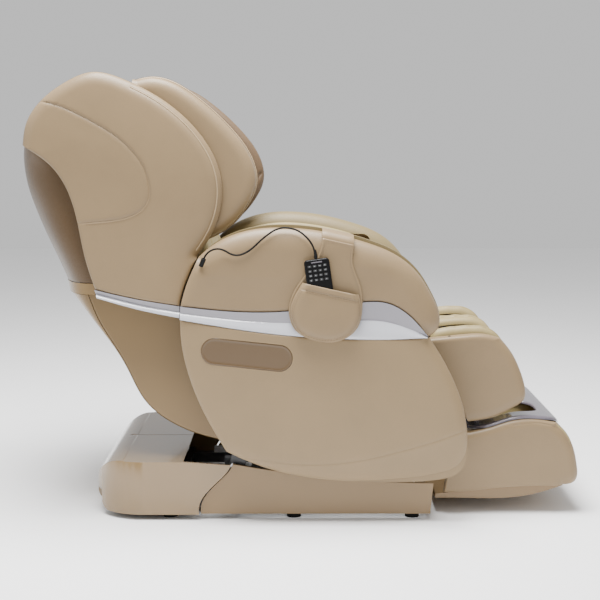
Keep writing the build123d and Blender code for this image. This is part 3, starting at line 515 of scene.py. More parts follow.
# The silver paint darkened for the foot rim: it paints the shade on the rim.
SHADED_RIM_SILVER = plastic("shaded_rim_silver", srgb(96, 90, 98), rough=0.16, coat=0.8)
DARK_SILVER = plastic("dark_silver", srgb(96, 92, 98), rough=0.25, coat=0.5)
PLATE_BROWN = plastic("plate_brown", srgb(84, 64, 38), rough=0.38, coat=0.15)
BLACK_GLOSS = plastic("black_gloss", (0.003, 0.003, 0.0035), rough=0.25, coat=0.04, shine=0.15)
BLACK_MATTE = plastic("black_matte", (0.018, 0.018, 0.018), rough=0.55, coat=0.0, peel=0.2)
DARK_TRIM = plastic("dark_trim", srgb(50, 46, 46), rough=0.5, coat=0.1)
GREY_PLASTIC = plastic("grey_plastic", srgb(110, 110, 112), rough=0.45, coat=0.1, peel=0.1)
RUBBER = plastic("black_rubber", (0.006, 0.006, 0.006), rough=0.7, coat=0.0, peel=0.25, shine=0.15)
PALE_MARK = plastic("pale_mark", srgb(150, 153, 156), rough=0.5, coat=0.0)
STEEL = metal("bright_steel", (0.62, 0.62, 0.64))
BLACK_STEEL = plastic("black_powder_coat", (0.02, 0.02, 0.022), rough=0.45, coat=0.15, peel=0.3)
TAN_THREAD = thread("tan_thread", srgb(122, 102, 78))
# The beige leather made paler for the piping cords: it paints the highlight along the wing and shoulder edges.
HIGHLIGHT_PIPING = leather("highlight_piping", srgb(162, 141, 110), rough=0.4, bump=0.08, edge_wear_and_crease_shade=False)


# ---- camera and cord

camera_data = bpy.data.cameras.new("camera")
camera = bpy.data.objects.new("camera", camera_data)
bpy.context.collection.objects.link(camera)
bpy.context.scene.camera = camera
camera_data.sensor_width = 36
camera_data.lens = 74.46
camera_data.shift_x, camera_data.shift_y = -0.002, -0.1047
camera_data.clip_start, camera_data.clip_end = 0.1, 60
camera.location = (-0.018 + LENGTH_SHIFT, -3.6 + SIDE_SHIFT, 0.992)
camera.rotation_euler = (math.radians(86), 0, 0)

CABLE_ROUTE = [(-270, -402, 712), (-262, -409, 731), (-228, -404, 742), (-190, -402, 717), (-152, -401, 731),
               (-115, -398, 768), (-75, -390, 794), (-30, -392, 789), (0, -404, 766), (16.94, -409, 738.02),
               (20.56, -409, 712.29)]
cable_curve = bpy.data.curves.new("handset_cable_line", "CURVE")
cable_curve.dimensions = "3D"
route = cable_curve.splines.new("NURBS")
route.points.add(len(CABLE_ROUTE) - 1)
for point, (x, y, z) in zip(route.points, CABLE_ROUTE):
    point.co = (x * MM + LENGTH_SHIFT, y * MM + SIDE_SHIFT, z * MM, 1)
route.order_u = 3
route.use_endpoint_u = True
route.resolution_u = 12
cable_curve.bevel_depth = 0.0025
cable_curve.bevel_resolution = 5
cable = bpy.data.objects.new("handset_cable_line", cable_curve)
bpy.context.collection.objects.link(cable)
cable_curve.materials.append(RUBBER)
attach(cable, "seat")
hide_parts("handset_cable")

relief_line = [(20.4, -409, 713.2), (18.8, -409, 725), (17.2, -409, 736.5)]
relief = tube("cable_strain_relief", np.array(relief_line) * MM, np.array([0.0047, 0.0042, 0.0034]), 20)
dress(relief, "seat", RUBBER, "rubber_black")


# ---- outlines shared with the CAD model

ARM_REAR = [(-285, 715), (-323, 625), (-333, 587)]
PANEL_REAR = [(-212, 198), (-255, 270), (-311, 400), (-333, 510), (-334, 550)]
ARM_TOP = [(-285, 715), (-250, 744), (-195, 772), (-125, 788), (-50, 790), (50, 778), (150, 752),
           (235, 716), (290, 668), (325, 612), (346, 555), (340, 522), (318, 503)]
TRIM_TOP = [(-333, 587), (-200, 574), (-80, 573), (60, 588), (150, 599), (205, 596), (250, 574), (318, 503)]
TRIM_LOW = [(-334, 550), (-200, 528), (-50, 509), (100, 500), (220, 499), (318, 503)]
PANEL_FRONT = [(318, 503), (350, 452), (384, 385), (410, 310), (421, 235), (419, 180), (402, 145),
               (350, 124), (230, 117), (110, 118), (-20, 132), (-120, 158), (-212, 198)]
WING_REAR = [(-562, 630), (-588, 715), (-606, 805), (-630, 885), (-672, 950), (-751, 1006)]
WING_CROWN = [(-751, 1006), (-742, 1060), (-697, 1127), (-633, 1173), (-568, 1197), (-480, 1177),
              (-370, 1117), (-280, 1030), (-234, 940), (-229, 850), (-258, 765), (-291, 714)]
WING_FOOT = [(-291, 714), (-329, 625), (-339, 587)]
STRIP_TOP = [(-339, 583), (-450, 601), (-562, 626)]
STRIP_LOW = [(-339, 550), (-450, 573), (-556, 603)]
SHOULDER_EDGE = [(-464, 1180), (-418, 1189), (-372, 1182), (-304, 1144), (-206, 1056), (-143, 963), (-134, 904),
                 (-160, 842), (-204, 790), (-257, 758), (-300, 742)]


# ---- arms

def arm(side, word):
    """One arm: its outer roll, the rim inside it in an olive darkened to paint the shade there, and the quilted
    lining with its opening.
    """
    bottom, rear = spline(*TRIM_TOP)[::-1], spline(*ARM_REAR)[::-1]
    segments = [spline(*ARM_TOP), bottom, rear]

    def crown(points, dist):
        return 0.004 * (1 - np.exp(-np.maximum(0, 0.09 - np.minimum(dist[1], 0.09)) / 0.05))

    skin, _ = panel(f"arm_roll_{word}", segments, side * ARM_SPLIT, side * ARM_FACE,
                    [rounded((0, 0.062, 0.034), (1, 0.008, 0.005), (2, 0.020, 0.012)), crown])
    dress(skin, "seat", BEIGE_LEATHER, "leather_beige", f"arm_pad_{word}", padded=0.9)

    hole = rounded_box(-150, 200, 640, 730, 26)
    count = len(ARM_TOP) - 1
    raised = [(x, z + 9 * math.sin(math.pi * i / count)) for i, (x, z) in enumerate(ARM_TOP)]
    rim, _ = panel(f"arm_rim_{word}", [spline(*raised), bottom, rear], side * (ARM_SPLIT - 0.0002),
                   side * ARM_INSIDE, [rounded((0, 0.045, 0.034), (1, 0.006, 0.004), (2, 0.012, 0.008))],
                   holes=[hole])
    dress(rim, "seat", SHADED_OLIVE, "leather_olive", padded=0.9)

    lining_loop = [spline((-262, 690), (-230, 722), (-180, 748), (-110, 764), (-50, 766), (50, 754), (150, 728),
                          (225, 694), (275, 650), (305, 600), (322, 545)),
                   spline((322, 545), (316, 505), (290, 470)), spline((290, 470), (-200, 460)),
                   spline((-200, 460), (-262, 540), (-278, 620), (-262, 690))]
    channels = [spline((x, 480), (x + 12, 620)) for x in (-180, -90, 0, 90, 180, 255)]
    falls = [lambda p, dist: roll_off(np.minimum.reduce(dist), 0.016, 0.008),
             lambda p, dist: roll_off(distance(p, closed(hole)), 0.010, 0.006),
             lambda p, dist: groove(nearest(p, channels), 0.004, 0.0035)]
    lining, _ = panel(f"arm_lining_{word}", lining_loop, side * LINING_BACK, side * LINING_FACE, falls,
                      lines=channels, holes=[hole])
    dress(lining, "seat", OLIVE_LEATHER, "leather_olive", f"arm_liner_{word}", padded=0.7)


def rounded_box(x0, x1, z0, z1, r):
    """A closed rounded rectangle in the side view, in millimetres, as metres."""
    points = []
    corners = ((x1 - r, z0 + r, -90), (x1 - r, z1 - r, 0), (x0 + r, z1 - r, 90), (x0 + r, z0 + r, 180))
    for cx, cz, start in corners:
        for a in np.linspace(start, start + 90, 6):
            points.append((cx + r * math.cos(math.radians(a)), cz + r * math.sin(math.radians(a))))
    return np.array(divided(points, 8)) * MM


def two_band_strip(name, upper, lower, y_front, side, y_back, body, replaced, split=0.5):
    """The silver strip: a hollow satin band over a rounded pearl one, between two side-view curves."""
    n = 90
    a, b = evenly(upper, n), evenly(lower, n)
    vs = np.r_[np.linspace(0, split, 8), np.linspace(split, 1, 12)[1:]]
    rows = []
    for v in vs:
        if v <= split:
            u = v / split
            depth = 0.0015 + 0.0065 * u
        else:
            u = (v - split) / (1 - split)
            depth = 0.008 - 0.0075 * math.sin(math.pi * min(1, u * 0.62 + 0.02)) if u < 0.98 else 0.0035
        p = a + (b - a) * v
        rows.append(np.column_stack([p[:, 0], np.full(n, y_front - side * depth), p[:, 1]]))
    front = np.vstack(rows)
    rear = front.copy()
    rear[:, 1] = y_back
    faces = solid_faces(len(vs), n)
    slots = np.zeros(len(faces), int)
    slots[:(len(vs) - 1) * (n - 1)] = np.repeat(vs[:-1] >= split - 1e-6, n - 1)
    obj = make_mesh(name, np.vstack([front, rear]), faces, 35)
    dress(obj, body, [SILVER, PEARL], "satin_silver", *replaced)
    obj.data.polygons.foreach_set("material_index", slots.tolist())


def inset(points, dz):
    return [(x, z + dz) for x, z in points]


def side_shell(side, word):
    """The big side panel, crowned, with a crease low down where it turns under."""
    segments = [spline(*PANEL_FRONT), spline(*PANEL_REAR), spline(*TRIM_LOW)]
    crease = spline((-218, 196), (-150, 184), (-50, 171), (60, 170), (160, 184), (270, 212),
                    (350, 236), (422, 262))

    def swell(points, dist):
        d = np.minimum(dist[0], dist[1])
        return 0.006 * np.exp(-d / 0.07)

    def turn_under(points, dist):
        line_z = np.interp(points[:, 0], crease[:, 0], crease[:, 1])
        below = np.maximum(0, line_z - points[:, 1])
        return 0.20 * below + groove(np.abs(line_z - points[:, 1]), 0.0022, 0.0016)

    plate = plate_loop(0.6)
    shell, _ = panel(f"side_shell_{word}", segments, side * SHELL_BACK, side * ARM_FACE,
                     [rounded((0, 0.030, 0.014), (1, 0.010, 0.005), (2, 0.005, 0.002)), swell, turn_under],
                     lines=[crease], holes=[plate])
    dress(shell, "seat", SMOOTH_BEIGE, "leather_beige", f"arm_panel_{word}")
    name_plate(side, word)


PLATE = (-160, 460, 240, 70, -6)


def plate_loop(grow):
    """The name plate's round-ended outline, in metres."""
    x, z, length, height, turn = PLATE
    r, half = height / 2 + grow, length / 2 - height / 2
    points = []
    for centre, start in ((half, -90), (-half, 90)):
        for a in np.linspace(start, start + 180, 19):
            points.append((centre + r * math.cos(math.radians(a)), r * math.sin(math.radians(a))))
    c, s = math.cos(math.radians(turn)), math.sin(math.radians(turn))
    return np.array([(x + c * px - s * pz, z + s * px + c * pz) for px, pz in divided(points, 7)]) * MM


plates_made = []


def name_plate(side, word):
    """A blank plate with a fine raised rim."""

    def rim(points, dist):
        return roll_off(dist[0], 0.0015, 0.001) + 0.0008 * np.clip((dist[0] - 0.003) / 0.001, 0, 1)

    plate, _ = panel(f"name_plate_{word}", [closed(plate_loop(0))], side * PLATE_BACK, side * PLATE_FACE, [rim])
    plates_made.append(plate)
    dress(plate, "seat", PLATE_BROWN, "gloss_brown", *(["name_plates"] if len(plates_made) == 1 else []))


for side, word in SIDES:
    arm(side, word)
    side_shell(side, word)
    two_band_strip(f"arm_strip_{word}", spline(*inset(TRIM_TOP[:-1], -1.0), (313, 508)),
                   spline(*inset(TRIM_LOW[:-1], 1.0), (311, 504)), side * STRIP_FACE, side, side * STRIP_BACK,
                   "seat", [f"arm_trim_{word}"])


# ---- pouch and handset

def pouch():
    back_loop = [spline((38, 766), (32, 735), (8, 690), (-35, 630), (-50, 570), (-30, 522), (10, 500), (50, 493),
                        (95, 502), (130, 535), (141, 585), (136, 640), (116, 700), (119, 748)),
                 spline((119, 748), (38, 766))]

    def binding(points, dist):
        d = np.minimum.reduce(dist)
        return roll_off(d, 0.003, 0.0018) + groove(d - 0.0078, 0.0014, 0.0016)

    back, surface = panel("pouch_back", back_loop, -0.3958, -0.4002, [binding], step=0.006)
    dress(back, "seat", BEIGE_LEATHER, "leather_beige", "pouch", padded=0.2)
    line = inner_line(back_loop[0], 0.0062)
    sew("pouch_back_stitching", on_face(line, surface, 0.0002))

    rim = spline((131, 619), (138, 585), (127, 537), (93, 505), (50, 496), (12, 503), (-26, 524), (-46, 570),
                 (-14, 651))
    mouth = spline((-14, 651), (131, 619))
    band = spline((-24, 636), (139, 600))

    def front(points, dist):
        d = dist[0]
        return roll_off(d, 0.020, 0.017) + groove(distance(points, band), 0.0016, 0.0013) \
            + roll_off(dist[1], 0.003, 0.0018)

    def sag(points, dist):
        return -0.0026 * np.exp(-(((points[:, 0] - 0.045) / 0.06) ** 2 + ((points[:, 1] - 0.56) / 0.05) ** 2)) \
            + 0.0012 * np.sin(points @ (90, 30)) * np.exp(-((points[:, 1] - 0.625) / 0.02) ** 2)

    pocket, face = panel("pouch_pocket", [rim, mouth], -0.4186, -0.4216, [front, sag], lines=[band], step=0.006,
                         back_falls=[lambda p, d: -roll_off(d[0], 0.020, 0.0172)])
    dress(pocket, "seat", BEIGE_LEATHER, "leather_beige", padded=0.3)
    for gap, label in ((0.0045, "outer"), (0.0085, "inner")):
        line = inner_line(rim, gap)
        sew(f"pocket_stitching_{label}", on_face(line, face, 0.0003))
    for dz, label in ((0.0035, "low"), (-0.0035, "high")):
        line = band[3:-3] + np.array([0, dz])
        sew(f"pocket_band_stitching_{label}", on_face(line, face, 0.0003))

    # The strap goes on over the arm's top and is tucked in at the inner side.
    path = [(0.744, -0.3925), (0.767, -0.3948), (0.776, -0.3900), (0.7815, -0.378), (0.7835, -0.366),
            (0.7838, -0.350), (0.7830, -0.334)]
    facing = [(-1.0, 0.15), (-1.0, 0.15), (-0.75, 0.66), (-0.3, 0.95), (0, 1), (0, 1), (0, 1)]
    verts = []
    xs = np.linspace(0.037, 0.119, 12)
    for thick in (0.0, 0.0032):
        for (z, y), (ny, nz) in zip(path, facing):
            for x in xs:
                fall = (x - 0.036) * 0.215
                lift = 0.0045 + 0.0022 - thick
                edge = 0.0012 * math.exp(-min(x - 0.036, 0.119 - x) / 0.003)
                verts.append((x, y + ny * (lift - edge - 0.003), z - fall + nz * (lift - edge)))
    strap = make_mesh("pouch_strap", verts, solid_faces(len(path), len(xs)), 50)
    dress(strap, "seat", BEIGE_LEATHER, "leather_beige", padded=0.2)


def sew(name, points, body="seat", side=RIGHT):
    dress(stitches(name, points, out=(0, side, 0)), body, TAN_THREAD, "leather_beige")


def inner_line(line, gap):
    """The line moved towards the middle of the shape it bounds."""
    middle = line.mean(axis=0)
    moved = min((offset(line, gap), offset(line, -gap)),
                key=lambda way: np.linalg.norm(way - middle, axis=1).mean())
    return moved[2:-2]


# The bars that make up each kind of key mark, as (x0, z0, x1, z1) in millimetres about the key's middle.
MARKS = [[(-1.6, -0.5, 1.6, 0.5)], [(-0.5, -1.6, 0.5, 1.6), (-1.6, -0.5, 1.6, 0.5)],
         [(-1.7, -1.4, -0.7, 1.4), (0.7, -1.4, 1.7, 1.4)], [(-1.5, 0.5, 1.5, 1.3), (-1.5, -1.3, 1.5, -0.5)]]


def handset():
    """The wired remote: a rounded black case, raised keys and pale generic marks."""
    middle, turn = np.array([31, 638]) * MM, math.radians(8)
    c, s = math.cos(turn), math.sin(turn)

    def place(px, pz):
        return middle + np.array([c * px - s * pz, s * px + c * pz])

    loop = rounded_box(-33, 33, -75, 75, 9)
    outline = closed(np.array([place(*p) for p in loop]))
    case, _ = panel("handset_shell", [outline], -0.4012, -0.4175, [rounded((0, 0.004, 0.003))],
                    back_falls=[rounded((0, 0.004, 0.003))], step=0.008)
    dress(case, "seat", BLACK_GLOSS, "gloss_black", "handset_case")
    marks = []
    for row, z in enumerate((58, 46, 34, 22)):
        for col, x in enumerate((-20, -6.6, 6.6, 20)):
            for x0, z0, x1, z1 in MARKS[(row * 3 + col) % 4]:
                corners = ((x0, z0), (x1, z0), (x1, z1), (x0, z1))
                marks.append([place((x + px) * MM, (z + pz) * MM) for px, pz in corners])
    marks = prisms("handset_key_marks", marks, -0.41836, -0.4186)
    dress(marks, "keypad", PALE_MARK, "rubber_black")
    corners = [place(px * MM, pz * MM) for px, pz in ((-14, 66), (14, 66), (14, 69), (-14, 69))]
    window = prisms("handset_signal_window", [corners], -0.4173, -0.4177)
    dress(window, "seat", DARK_SILVER, "gloss_black")


pouch()
handset()


# ---- backrest

def wing(side, word):
    """A big side wing: rounded front edge with a piped seam, and the curved sewn line behind it."""
    rear, crown, foot = spline(*WING_REAR), spline(*WING_CROWN), spline(*WING_FOOT)
    bottom = spline(*inset(STRIP_TOP, 2.0))
    segments = [rear, crown, foot, bottom]
    seam = spline((-708, 1121), (-650, 1107), (-600, 1085), (-550, 1059), (-500, 1027), (-460, 990), (-430, 946),
                  (-417, 899), (-420, 860), (-440, 834), (-475, 817), (-530, 807), (-606, 801))
    front_start = int(len(crown) * 0.40)
    piping = inner_line(crown[front_start:], 0.012)

    edges = rounded((1, 0.034, 0.022), (0, 0.008, 0.004), (2, 0.012, 0.006), (3, 0.006, 0.003))

    def swell(points, dist):
        return 0.015 * np.exp(-np.minimum(dist[1], dist[0] + 0.05) / 0.10)

    def sewn(points, dist):
        return groove(distance(points, seam), 0.0022, 0.0022) + groove(distance(points, piping), 0.002, 0.0016)

    skin, surface = panel(f"wing_{word}", segments, side * WING_BACK, side * WING_FACE, [edges, swell, sewn],
                          lines=[seam, piping], step=0.008, back_falls=[rounded((1, 0.012, 0.008))])
    dress(skin, "back", BEIGE_LEATHER, "leather_beige", f"back_wing_{word}", padded=0.9)
    path = on_face(piping, surface, 0.0006, side)
    cord_line = tube(f"wing_piping_{word}", path, 0.0019, 8)
    # The piping cord is painted paler than the wing's leather as a highlight.
    dress(cord_line, "back", HIGHLIGHT_PIPING, "leather_beige")
    sew(f"wing_stitching_{word}", on_face(offset(seam, 0.0042)[4:-4], surface, 0.0002, side), "back", side)


def shoulder(side, word):
    """A deep shoulder cushion: leather outside, quilted olive lining inside painted dark brown as shade, with
    piping between that is painted pale as a highlight.
    """
    edge, foot = spline(*SHOULDER_EDGE), spline((-300, 742), (-345, 742))
    rear, top = spline((-345, 742), (-464, 1080)), spline((-464, 1080), (-464, 1180))
    segments = [edge, foot, rear, top]

    trimmed = [inner_line(edge, 0.005), foot, rear, top]
    trimmed = [np.vstack([top[-1:], trimmed[0], foot[:1]]), foot, rear, top]
    skin, _ = panel(f"shoulder_{word}", trimmed, side * SHOULDER_BACK, side * SHOULDER_FACE,
                    [rounded((0, 0.030, 0.022))], back_falls=[rounded((0, 0.006, 0.004))], step=0.008)
    dress(skin, "back", BEIGE_LEATHER, "leather_beige", *(["shoulder_pads"] if side == LEFT else []), padded=0.9)
    channels = [spline((x, z), (x + 70, z + 120)) for x, z in ((-330, 800), (-270, 790), (-215, 800))]

    def inner(points, dist):
        return roll_off(dist[0], 0.026, 0.018) + groove(nearest(points, channels), 0.005, 0.005)

    lining, _ = panel(f"shoulder_lining_{word}", segments, side * (SHOULDER_BACK - 0.0005),
                      side * 0.2505, [inner], lines=channels, step=0.008,
                      back_falls=[rounded((0, 0.006, 0.004))])
    dress(lining, "back", SHADED_LINING_BROWN, "leather_olive", padded=0.9)
    welt = [(x, side * 0.2730, z) for x, z in inner_line(edge, 0.0038)]
    line = tube(f"shoulder_piping_{word}", welt, 0.0022, 8)
    # The piping cord is painted paler than the shoulder's leather as a highlight.
    dress(line, "back", HIGHLIGHT_PIPING, "leather_beige")


for side, word in SIDES:
    wing(side, word)
for side, word in SIDES:
    shoulder(side, word)
for side, word in SIDES:
    two_band_strip(f"back_strip_{word}", spline(*inset(STRIP_TOP, -0.6)), spline(*inset(STRIP_LOW, 0.6)),
                   side * 0.3565, side, side * 0.331, "back", ["back_strips"] if side == LEFT else [])

PAD_FRONT = [(-165, 462), (-196, 545), (-240, 665), (-290, 800), (-340, 940), (-385, 1060), (-430, 1120),
             (-500, 1155), (-556, 1160)]
back_curve = spline(*PAD_FRONT, step=0.006)[::-1]
pad = bolster("back_cushion", back_curve, 0.040, -0.2448, 0.2448,
              cushion_fall(0.022, 0.014, -0.245, 0.245, channels=(0.13, 0.27, 0.41, 0.55, 0.69, 0.83),
                           seams=(-0.13, 0.13), width=0.008, depth=0.009, crown=0.006))
dress(pad, "back", OLIVE_LEATHER, "leather_olive", "back_pad", padded=0.8)

SEAT_TOP = [(-188, 438), (-60, 438), (100, 448), (200, 460), (250, 458), (288, 432), (306, 392)]
seat = bolster("seat_cushion_cover", spline(*SEAT_TOP, step=0.006), 0.040, -0.2455, 0.2455,
               cushion_fall(0.024, 0.016, -0.2455, 0.2455, channels=(0.22, 0.44, 0.66), seams=(-0.14, 0.14),
                            width=0.009, depth=0.008))
dress(seat, "seat", OLIVE_LEATHER, "leather_olive", "seat_cushion", padded=0.8)


SHELL_WALL = 0.005


def shell_surface(name, levels, half, power, rise, material, *replaced):
    """A thin shell that bulges backwards between two sides.

    levels are pairs of side-view points: where the shell meets the side, and its rearmost point."""
    cols = 41
    us = np.sin(np.linspace(-math.pi / 2, math.pi / 2, cols))
    outer, inner = [], []
    for front, rear in levels:
        front, rear = np.array(front), np.array(rear)
        for u in us:
            bulge = (1 - abs(u) ** power) ** (1 / power)
            p = front + (rear - front) * bulge
            outer.append((p[0], u * half, p[1]))
            q = front + (rear - front) * bulge * 0.985
            inner.append((q[0] + SHELL_WALL * 0.9 * bulge, u * (half - SHELL_WALL),
                          q[1] + rise * SHELL_WALL * bulge))
    obj = make_mesh(name, np.array(outer + inner), solid_faces(len(levels), cols), 45)
    dress(obj, "back", material, "gloss_bronze", *replaced)


def matched(front, rear, count=60):
    """Evenly matched points along two side-view curves."""
    a, b = spline(*front), spline(*rear)
    return list(zip(evenly(a, count), evenly(b, count)))


WING_INNER_EDGE = [(-560, 640), (-586, 718), (-604, 806), (-628, 886), (-668, 948), (-712, 985), (-700, 1075),
                   (-640, 1135), (-566, 1150)]
REAR_BACK = [(-675, 641), (-695, 686), (-730, 756), (-764, 833), (-782, 884), (-792, 940), (-788, 1000),
             (-766, 1050), (-730, 1095), (-648, 1143), (-560, 1164)]
shell_surface("rear_shell", matched(WING_INNER_EDGE, REAR_BACK), SHOULDER_FACE, 2.6, 0.0, BRONZE,
              "back_rear_cover")
shell_surface("rear_band", matched([(-566, 608), (-562, 638)], [(-668, 610), (-675, 639)], 8), SHOULDER_FACE,
              2.6, 0.0, SAND_GLOSS)
LOWER_SEAM = [(-590, 604), (-561, 533), (-520, 466), (-485, 404), (-439, 317), (-375, 262), (-300, 227),
              (-226, 207)]
LOWER_BACK = [(-668, 606), (-601, 533), (-538, 466), (-494, 402), (-445, 314), (-379, 257), (-304, 224),
              (-226, 205)]
LOWER_FRONT = [(-226, 224), (-262, 272), (-298, 332), (-312, 420), (-324, 500), (-336, 556), (-420, 603)]
shell_surface("lower_shell", matched([(x - 1, z) for x, z in LOWER_SEAM], LOWER_BACK), LOWER_HALF, 2.2, 0.6,
              SAND_SATIN, "back_lower_cover")
for side, word in SIDES:
    flank, _ = panel(f"lower_side_{word}", [spline(*LOWER_SEAM[::-1]), spline((-590, 604), (-420, 603)),
                                            spline(*LOWER_FRONT[::-1]), spline((-226, 224), (-226, 207))],
                     side * 0.2762, side * LOWER_HALF, [rounded((0, 0.004, 0.002))])
    dress(flank, "back", SAND_SATIN, "gloss_bronze")


# ---- leg rest and foot unit

CALF_SIDE = [(318, 481), (345, 484), (375, 487), (429, 492), (479, 493), (524, 482)]
CALF_FRONT = [(524, 482), (556, 441), (578, 395), (593, 341), (592, 319), (560, 292), (515, 269), (438, 253)]


def calf_side(side, word):
    """The leather side of the calf unit, with mesh rows along a line that follows its front edge."""
    segments = [spline(*CALF_SIDE), spline(*CALF_FRONT), spline((438, 253), (318, 481))]
    top_seam = inner_line(np.vstack([segments[0], segments[1][:40]]), 0.009)
    edges = rounded((0, 0.014, 0.010), (1, 0.026, 0.018), (2, 0.004, 0.002))
    skin, _ = panel(f"calf_side_{word}", segments, side * CALF_INSIDE, side * LEG_FACE, [edges],
                    lines=[top_seam])
    dress(skin, "leg", BEIGE_LEATHER, "leather_beige", *(["calf_sides"] if side == LEFT else []), padded=0.9)


CALF_CREST = [(334, 474), (344, 494), (384, 508), (452, 513), (490, 508), (519, 490), (541, 458), (562, 392),
              (577, 338), (572, 312)]


def quilted_wall(name, y0, y1, first):
    """One padded wall of the calf unit: a fat bolster over the crest, sewn along its length."""
    middle, half = (y0 + y1) / 2, abs(y1 - y0) / 2

    def fall(s, y, length):
        across = np.clip(np.abs(y - middle) / half, 0, 1)
        f = 0.016 * (1 - np.sqrt(np.maximum(0, 1 - across ** 2.8)))
        for seam in (-0.42, 0.42):
            f = f + groove(y - middle - seam * half, 0.0030, 0.0085)
        pucker = 0.0012 * np.sin(s * 150) * np.exp(-((np.abs(y - middle) / half - 0.42) / 0.25) ** 2)
        return np.minimum(f + pucker + roll_off(s, 0.016, 0.006) + roll_off(length - s, 0.02, 0.008), 0.021)

    obj = bolster(name, spline(*CALF_CREST, step=0.004), 0.022, y0, y1, fall, dv=0.0035)
    dress(obj, "leg", OLIVE_LEATHER, "leather_olive", *(["calf_pad"] if first else []), padded=0.8)
    core_front = spline((352, 462), (402, 480), (452, 484), (480, 478), (500, 462), (520, 410), (540, 345),
                        (540, 312))
    core_rear = spline((476, 272), (380, 430), (352, 462))
    core, _ = panel(name + "_core", [core_front, spline((540, 312), (476, 272)), core_rear],
                    y0 + 0.002 * np.sign(y1 - y0), y1 - 0.002 * np.sign(y1 - y0),
                    [lambda p, d: roll_off(np.minimum.reduce(d), 0.01, 0.004)])
    dress(core, "leg", OLIVE_LEATHER, "leather_olive", padded=0.8)


for side, word in SIDES:
    calf_side(side, word)
quilted_wall("calf_wall_left", 0.193, 0.2355, True)
quilted_wall("calf_wall_right", -0.2355, -0.193, False)
quilted_wall("calf_wall_middle", -0.041, 0.041, False)
for y0, y1, word in ((0.044, 0.190, "left"), (-0.190, -0.044, "right")):
    well = bolster(f"calf_back_{word}", spline((428, 484), (516, 286), step=0.006), 0.034, y0, y1,
                   cushion_fall(0.018, 0.012, y0, y1, channels=(0.25, 0.5, 0.75), width=0.007, depth=0.006))
    dress(well, "leg", OLIVE_LEATHER, "leather_olive", padded=0.8)

FOOT_TOP = [(437, 225), (500, 240), (550, 256), (600, 262), (640, 259), (682, 248)]
FOOT_FRONT = [(682, 248), (709, 220), (723, 193), (732, 166), (738, 134), (740, 106), (734, 89),
              (723, 81), (700, 78)]
FOOT_SOLE = [(700, 78), (590, 77), (497, 70), (407, 61)]


def foot_side(side, word):
    top = spline((402, 219), *FOOT_TOP)
    sole = spline(*FOOT_SOLE, (372, 60))
    segments = [top, spline(*FOOT_FRONT), sole, spline((372, 60), (402, 219))]
    seam = spline((560, 246), (600, 251), (650, 248), (684, 234), (704, 208), (716, 182))
    edges = rounded((0, 0.018, 0.012), (1, 0.030, 0.024), (2, 0.010, 0.006), (3, 0.004, 0.002))

    def sewn(points, dist):
        return groove(distance(points, seam), 0.002, 0.0016)

    skin, _ = panel(f"foot_side_{word}", segments, side * FOOT_INSIDE, side * LEG_FACE, [edges, sewn],
                    lines=[seam])
    dress(skin, "foot", BEIGE_LEATHER, "leather_beige", *(["foot_shell"] if side == LEFT else []), padded=0.9)


for side, word in SIDES:
    foot_side(side, word)
toe = bolster("foot_toe_cover", spline(*FOOT_FRONT, step=0.005), 0.020, -0.246, 0.246,
              lambda s, y, length: roll_off(0.246 - np.abs(y), 0.004, 0.002)
              + groove(s - 0.28 * length, 0.003, 0.002))
dress(toe, "foot", BEIGE_LEATHER, "leather_beige", padded=0.9)


def laid_flat(obj, height):
    """Lays a panel that was drawn in plan, with its thickness along Y, on a height curve along X."""
    mesh, co = obj.data, read_points(obj)
    x, thick, across = co[:, 0] - LENGTH_SHIFT, co[:, 1] - SIDE_SHIFT, co[:, 2]
    laid = np.column_stack([co[:, 0], across + SIDE_SHIFT, np.interp(x, height[:, 0], height[:, 1]) + thick])
    mesh.vertices.foreach_set("co", laid.ravel())
    mesh.flip_normals()
    mesh.update()


def foot_rim():
    """The silver rim over the foot wells: one plate with two rounded mouths, in a darker copy of the silver
    paint that paints the shade on it.
    """
    outline = rounded_box(437, 694, -261, 261, 66)
    mouths = [rounded_box(470, 642, side * 122 - 76, side * 122 + 76, 50) for side in (LEFT, RIGHT)]
    brims = [closed(mouth) for mouth in mouths]

    def edges(points, dist):
        d = nearest(points, brims)
        return np.maximum(roll_off(dist[0], 0.010, 0.006), roll_off(d, 0.008, 0.005))

    rim, _ = panel("foot_rim", [closed(outline)], 0.0015, 0.0095, [edges], holes=mouths, step=0.009)
    laid_flat(rim, spline((400, 218), *FOOT_TOP, (696, 237)))
    dress(rim, "foot", SHADED_RIM_SILVER, "satin_silver", "foot_trim")


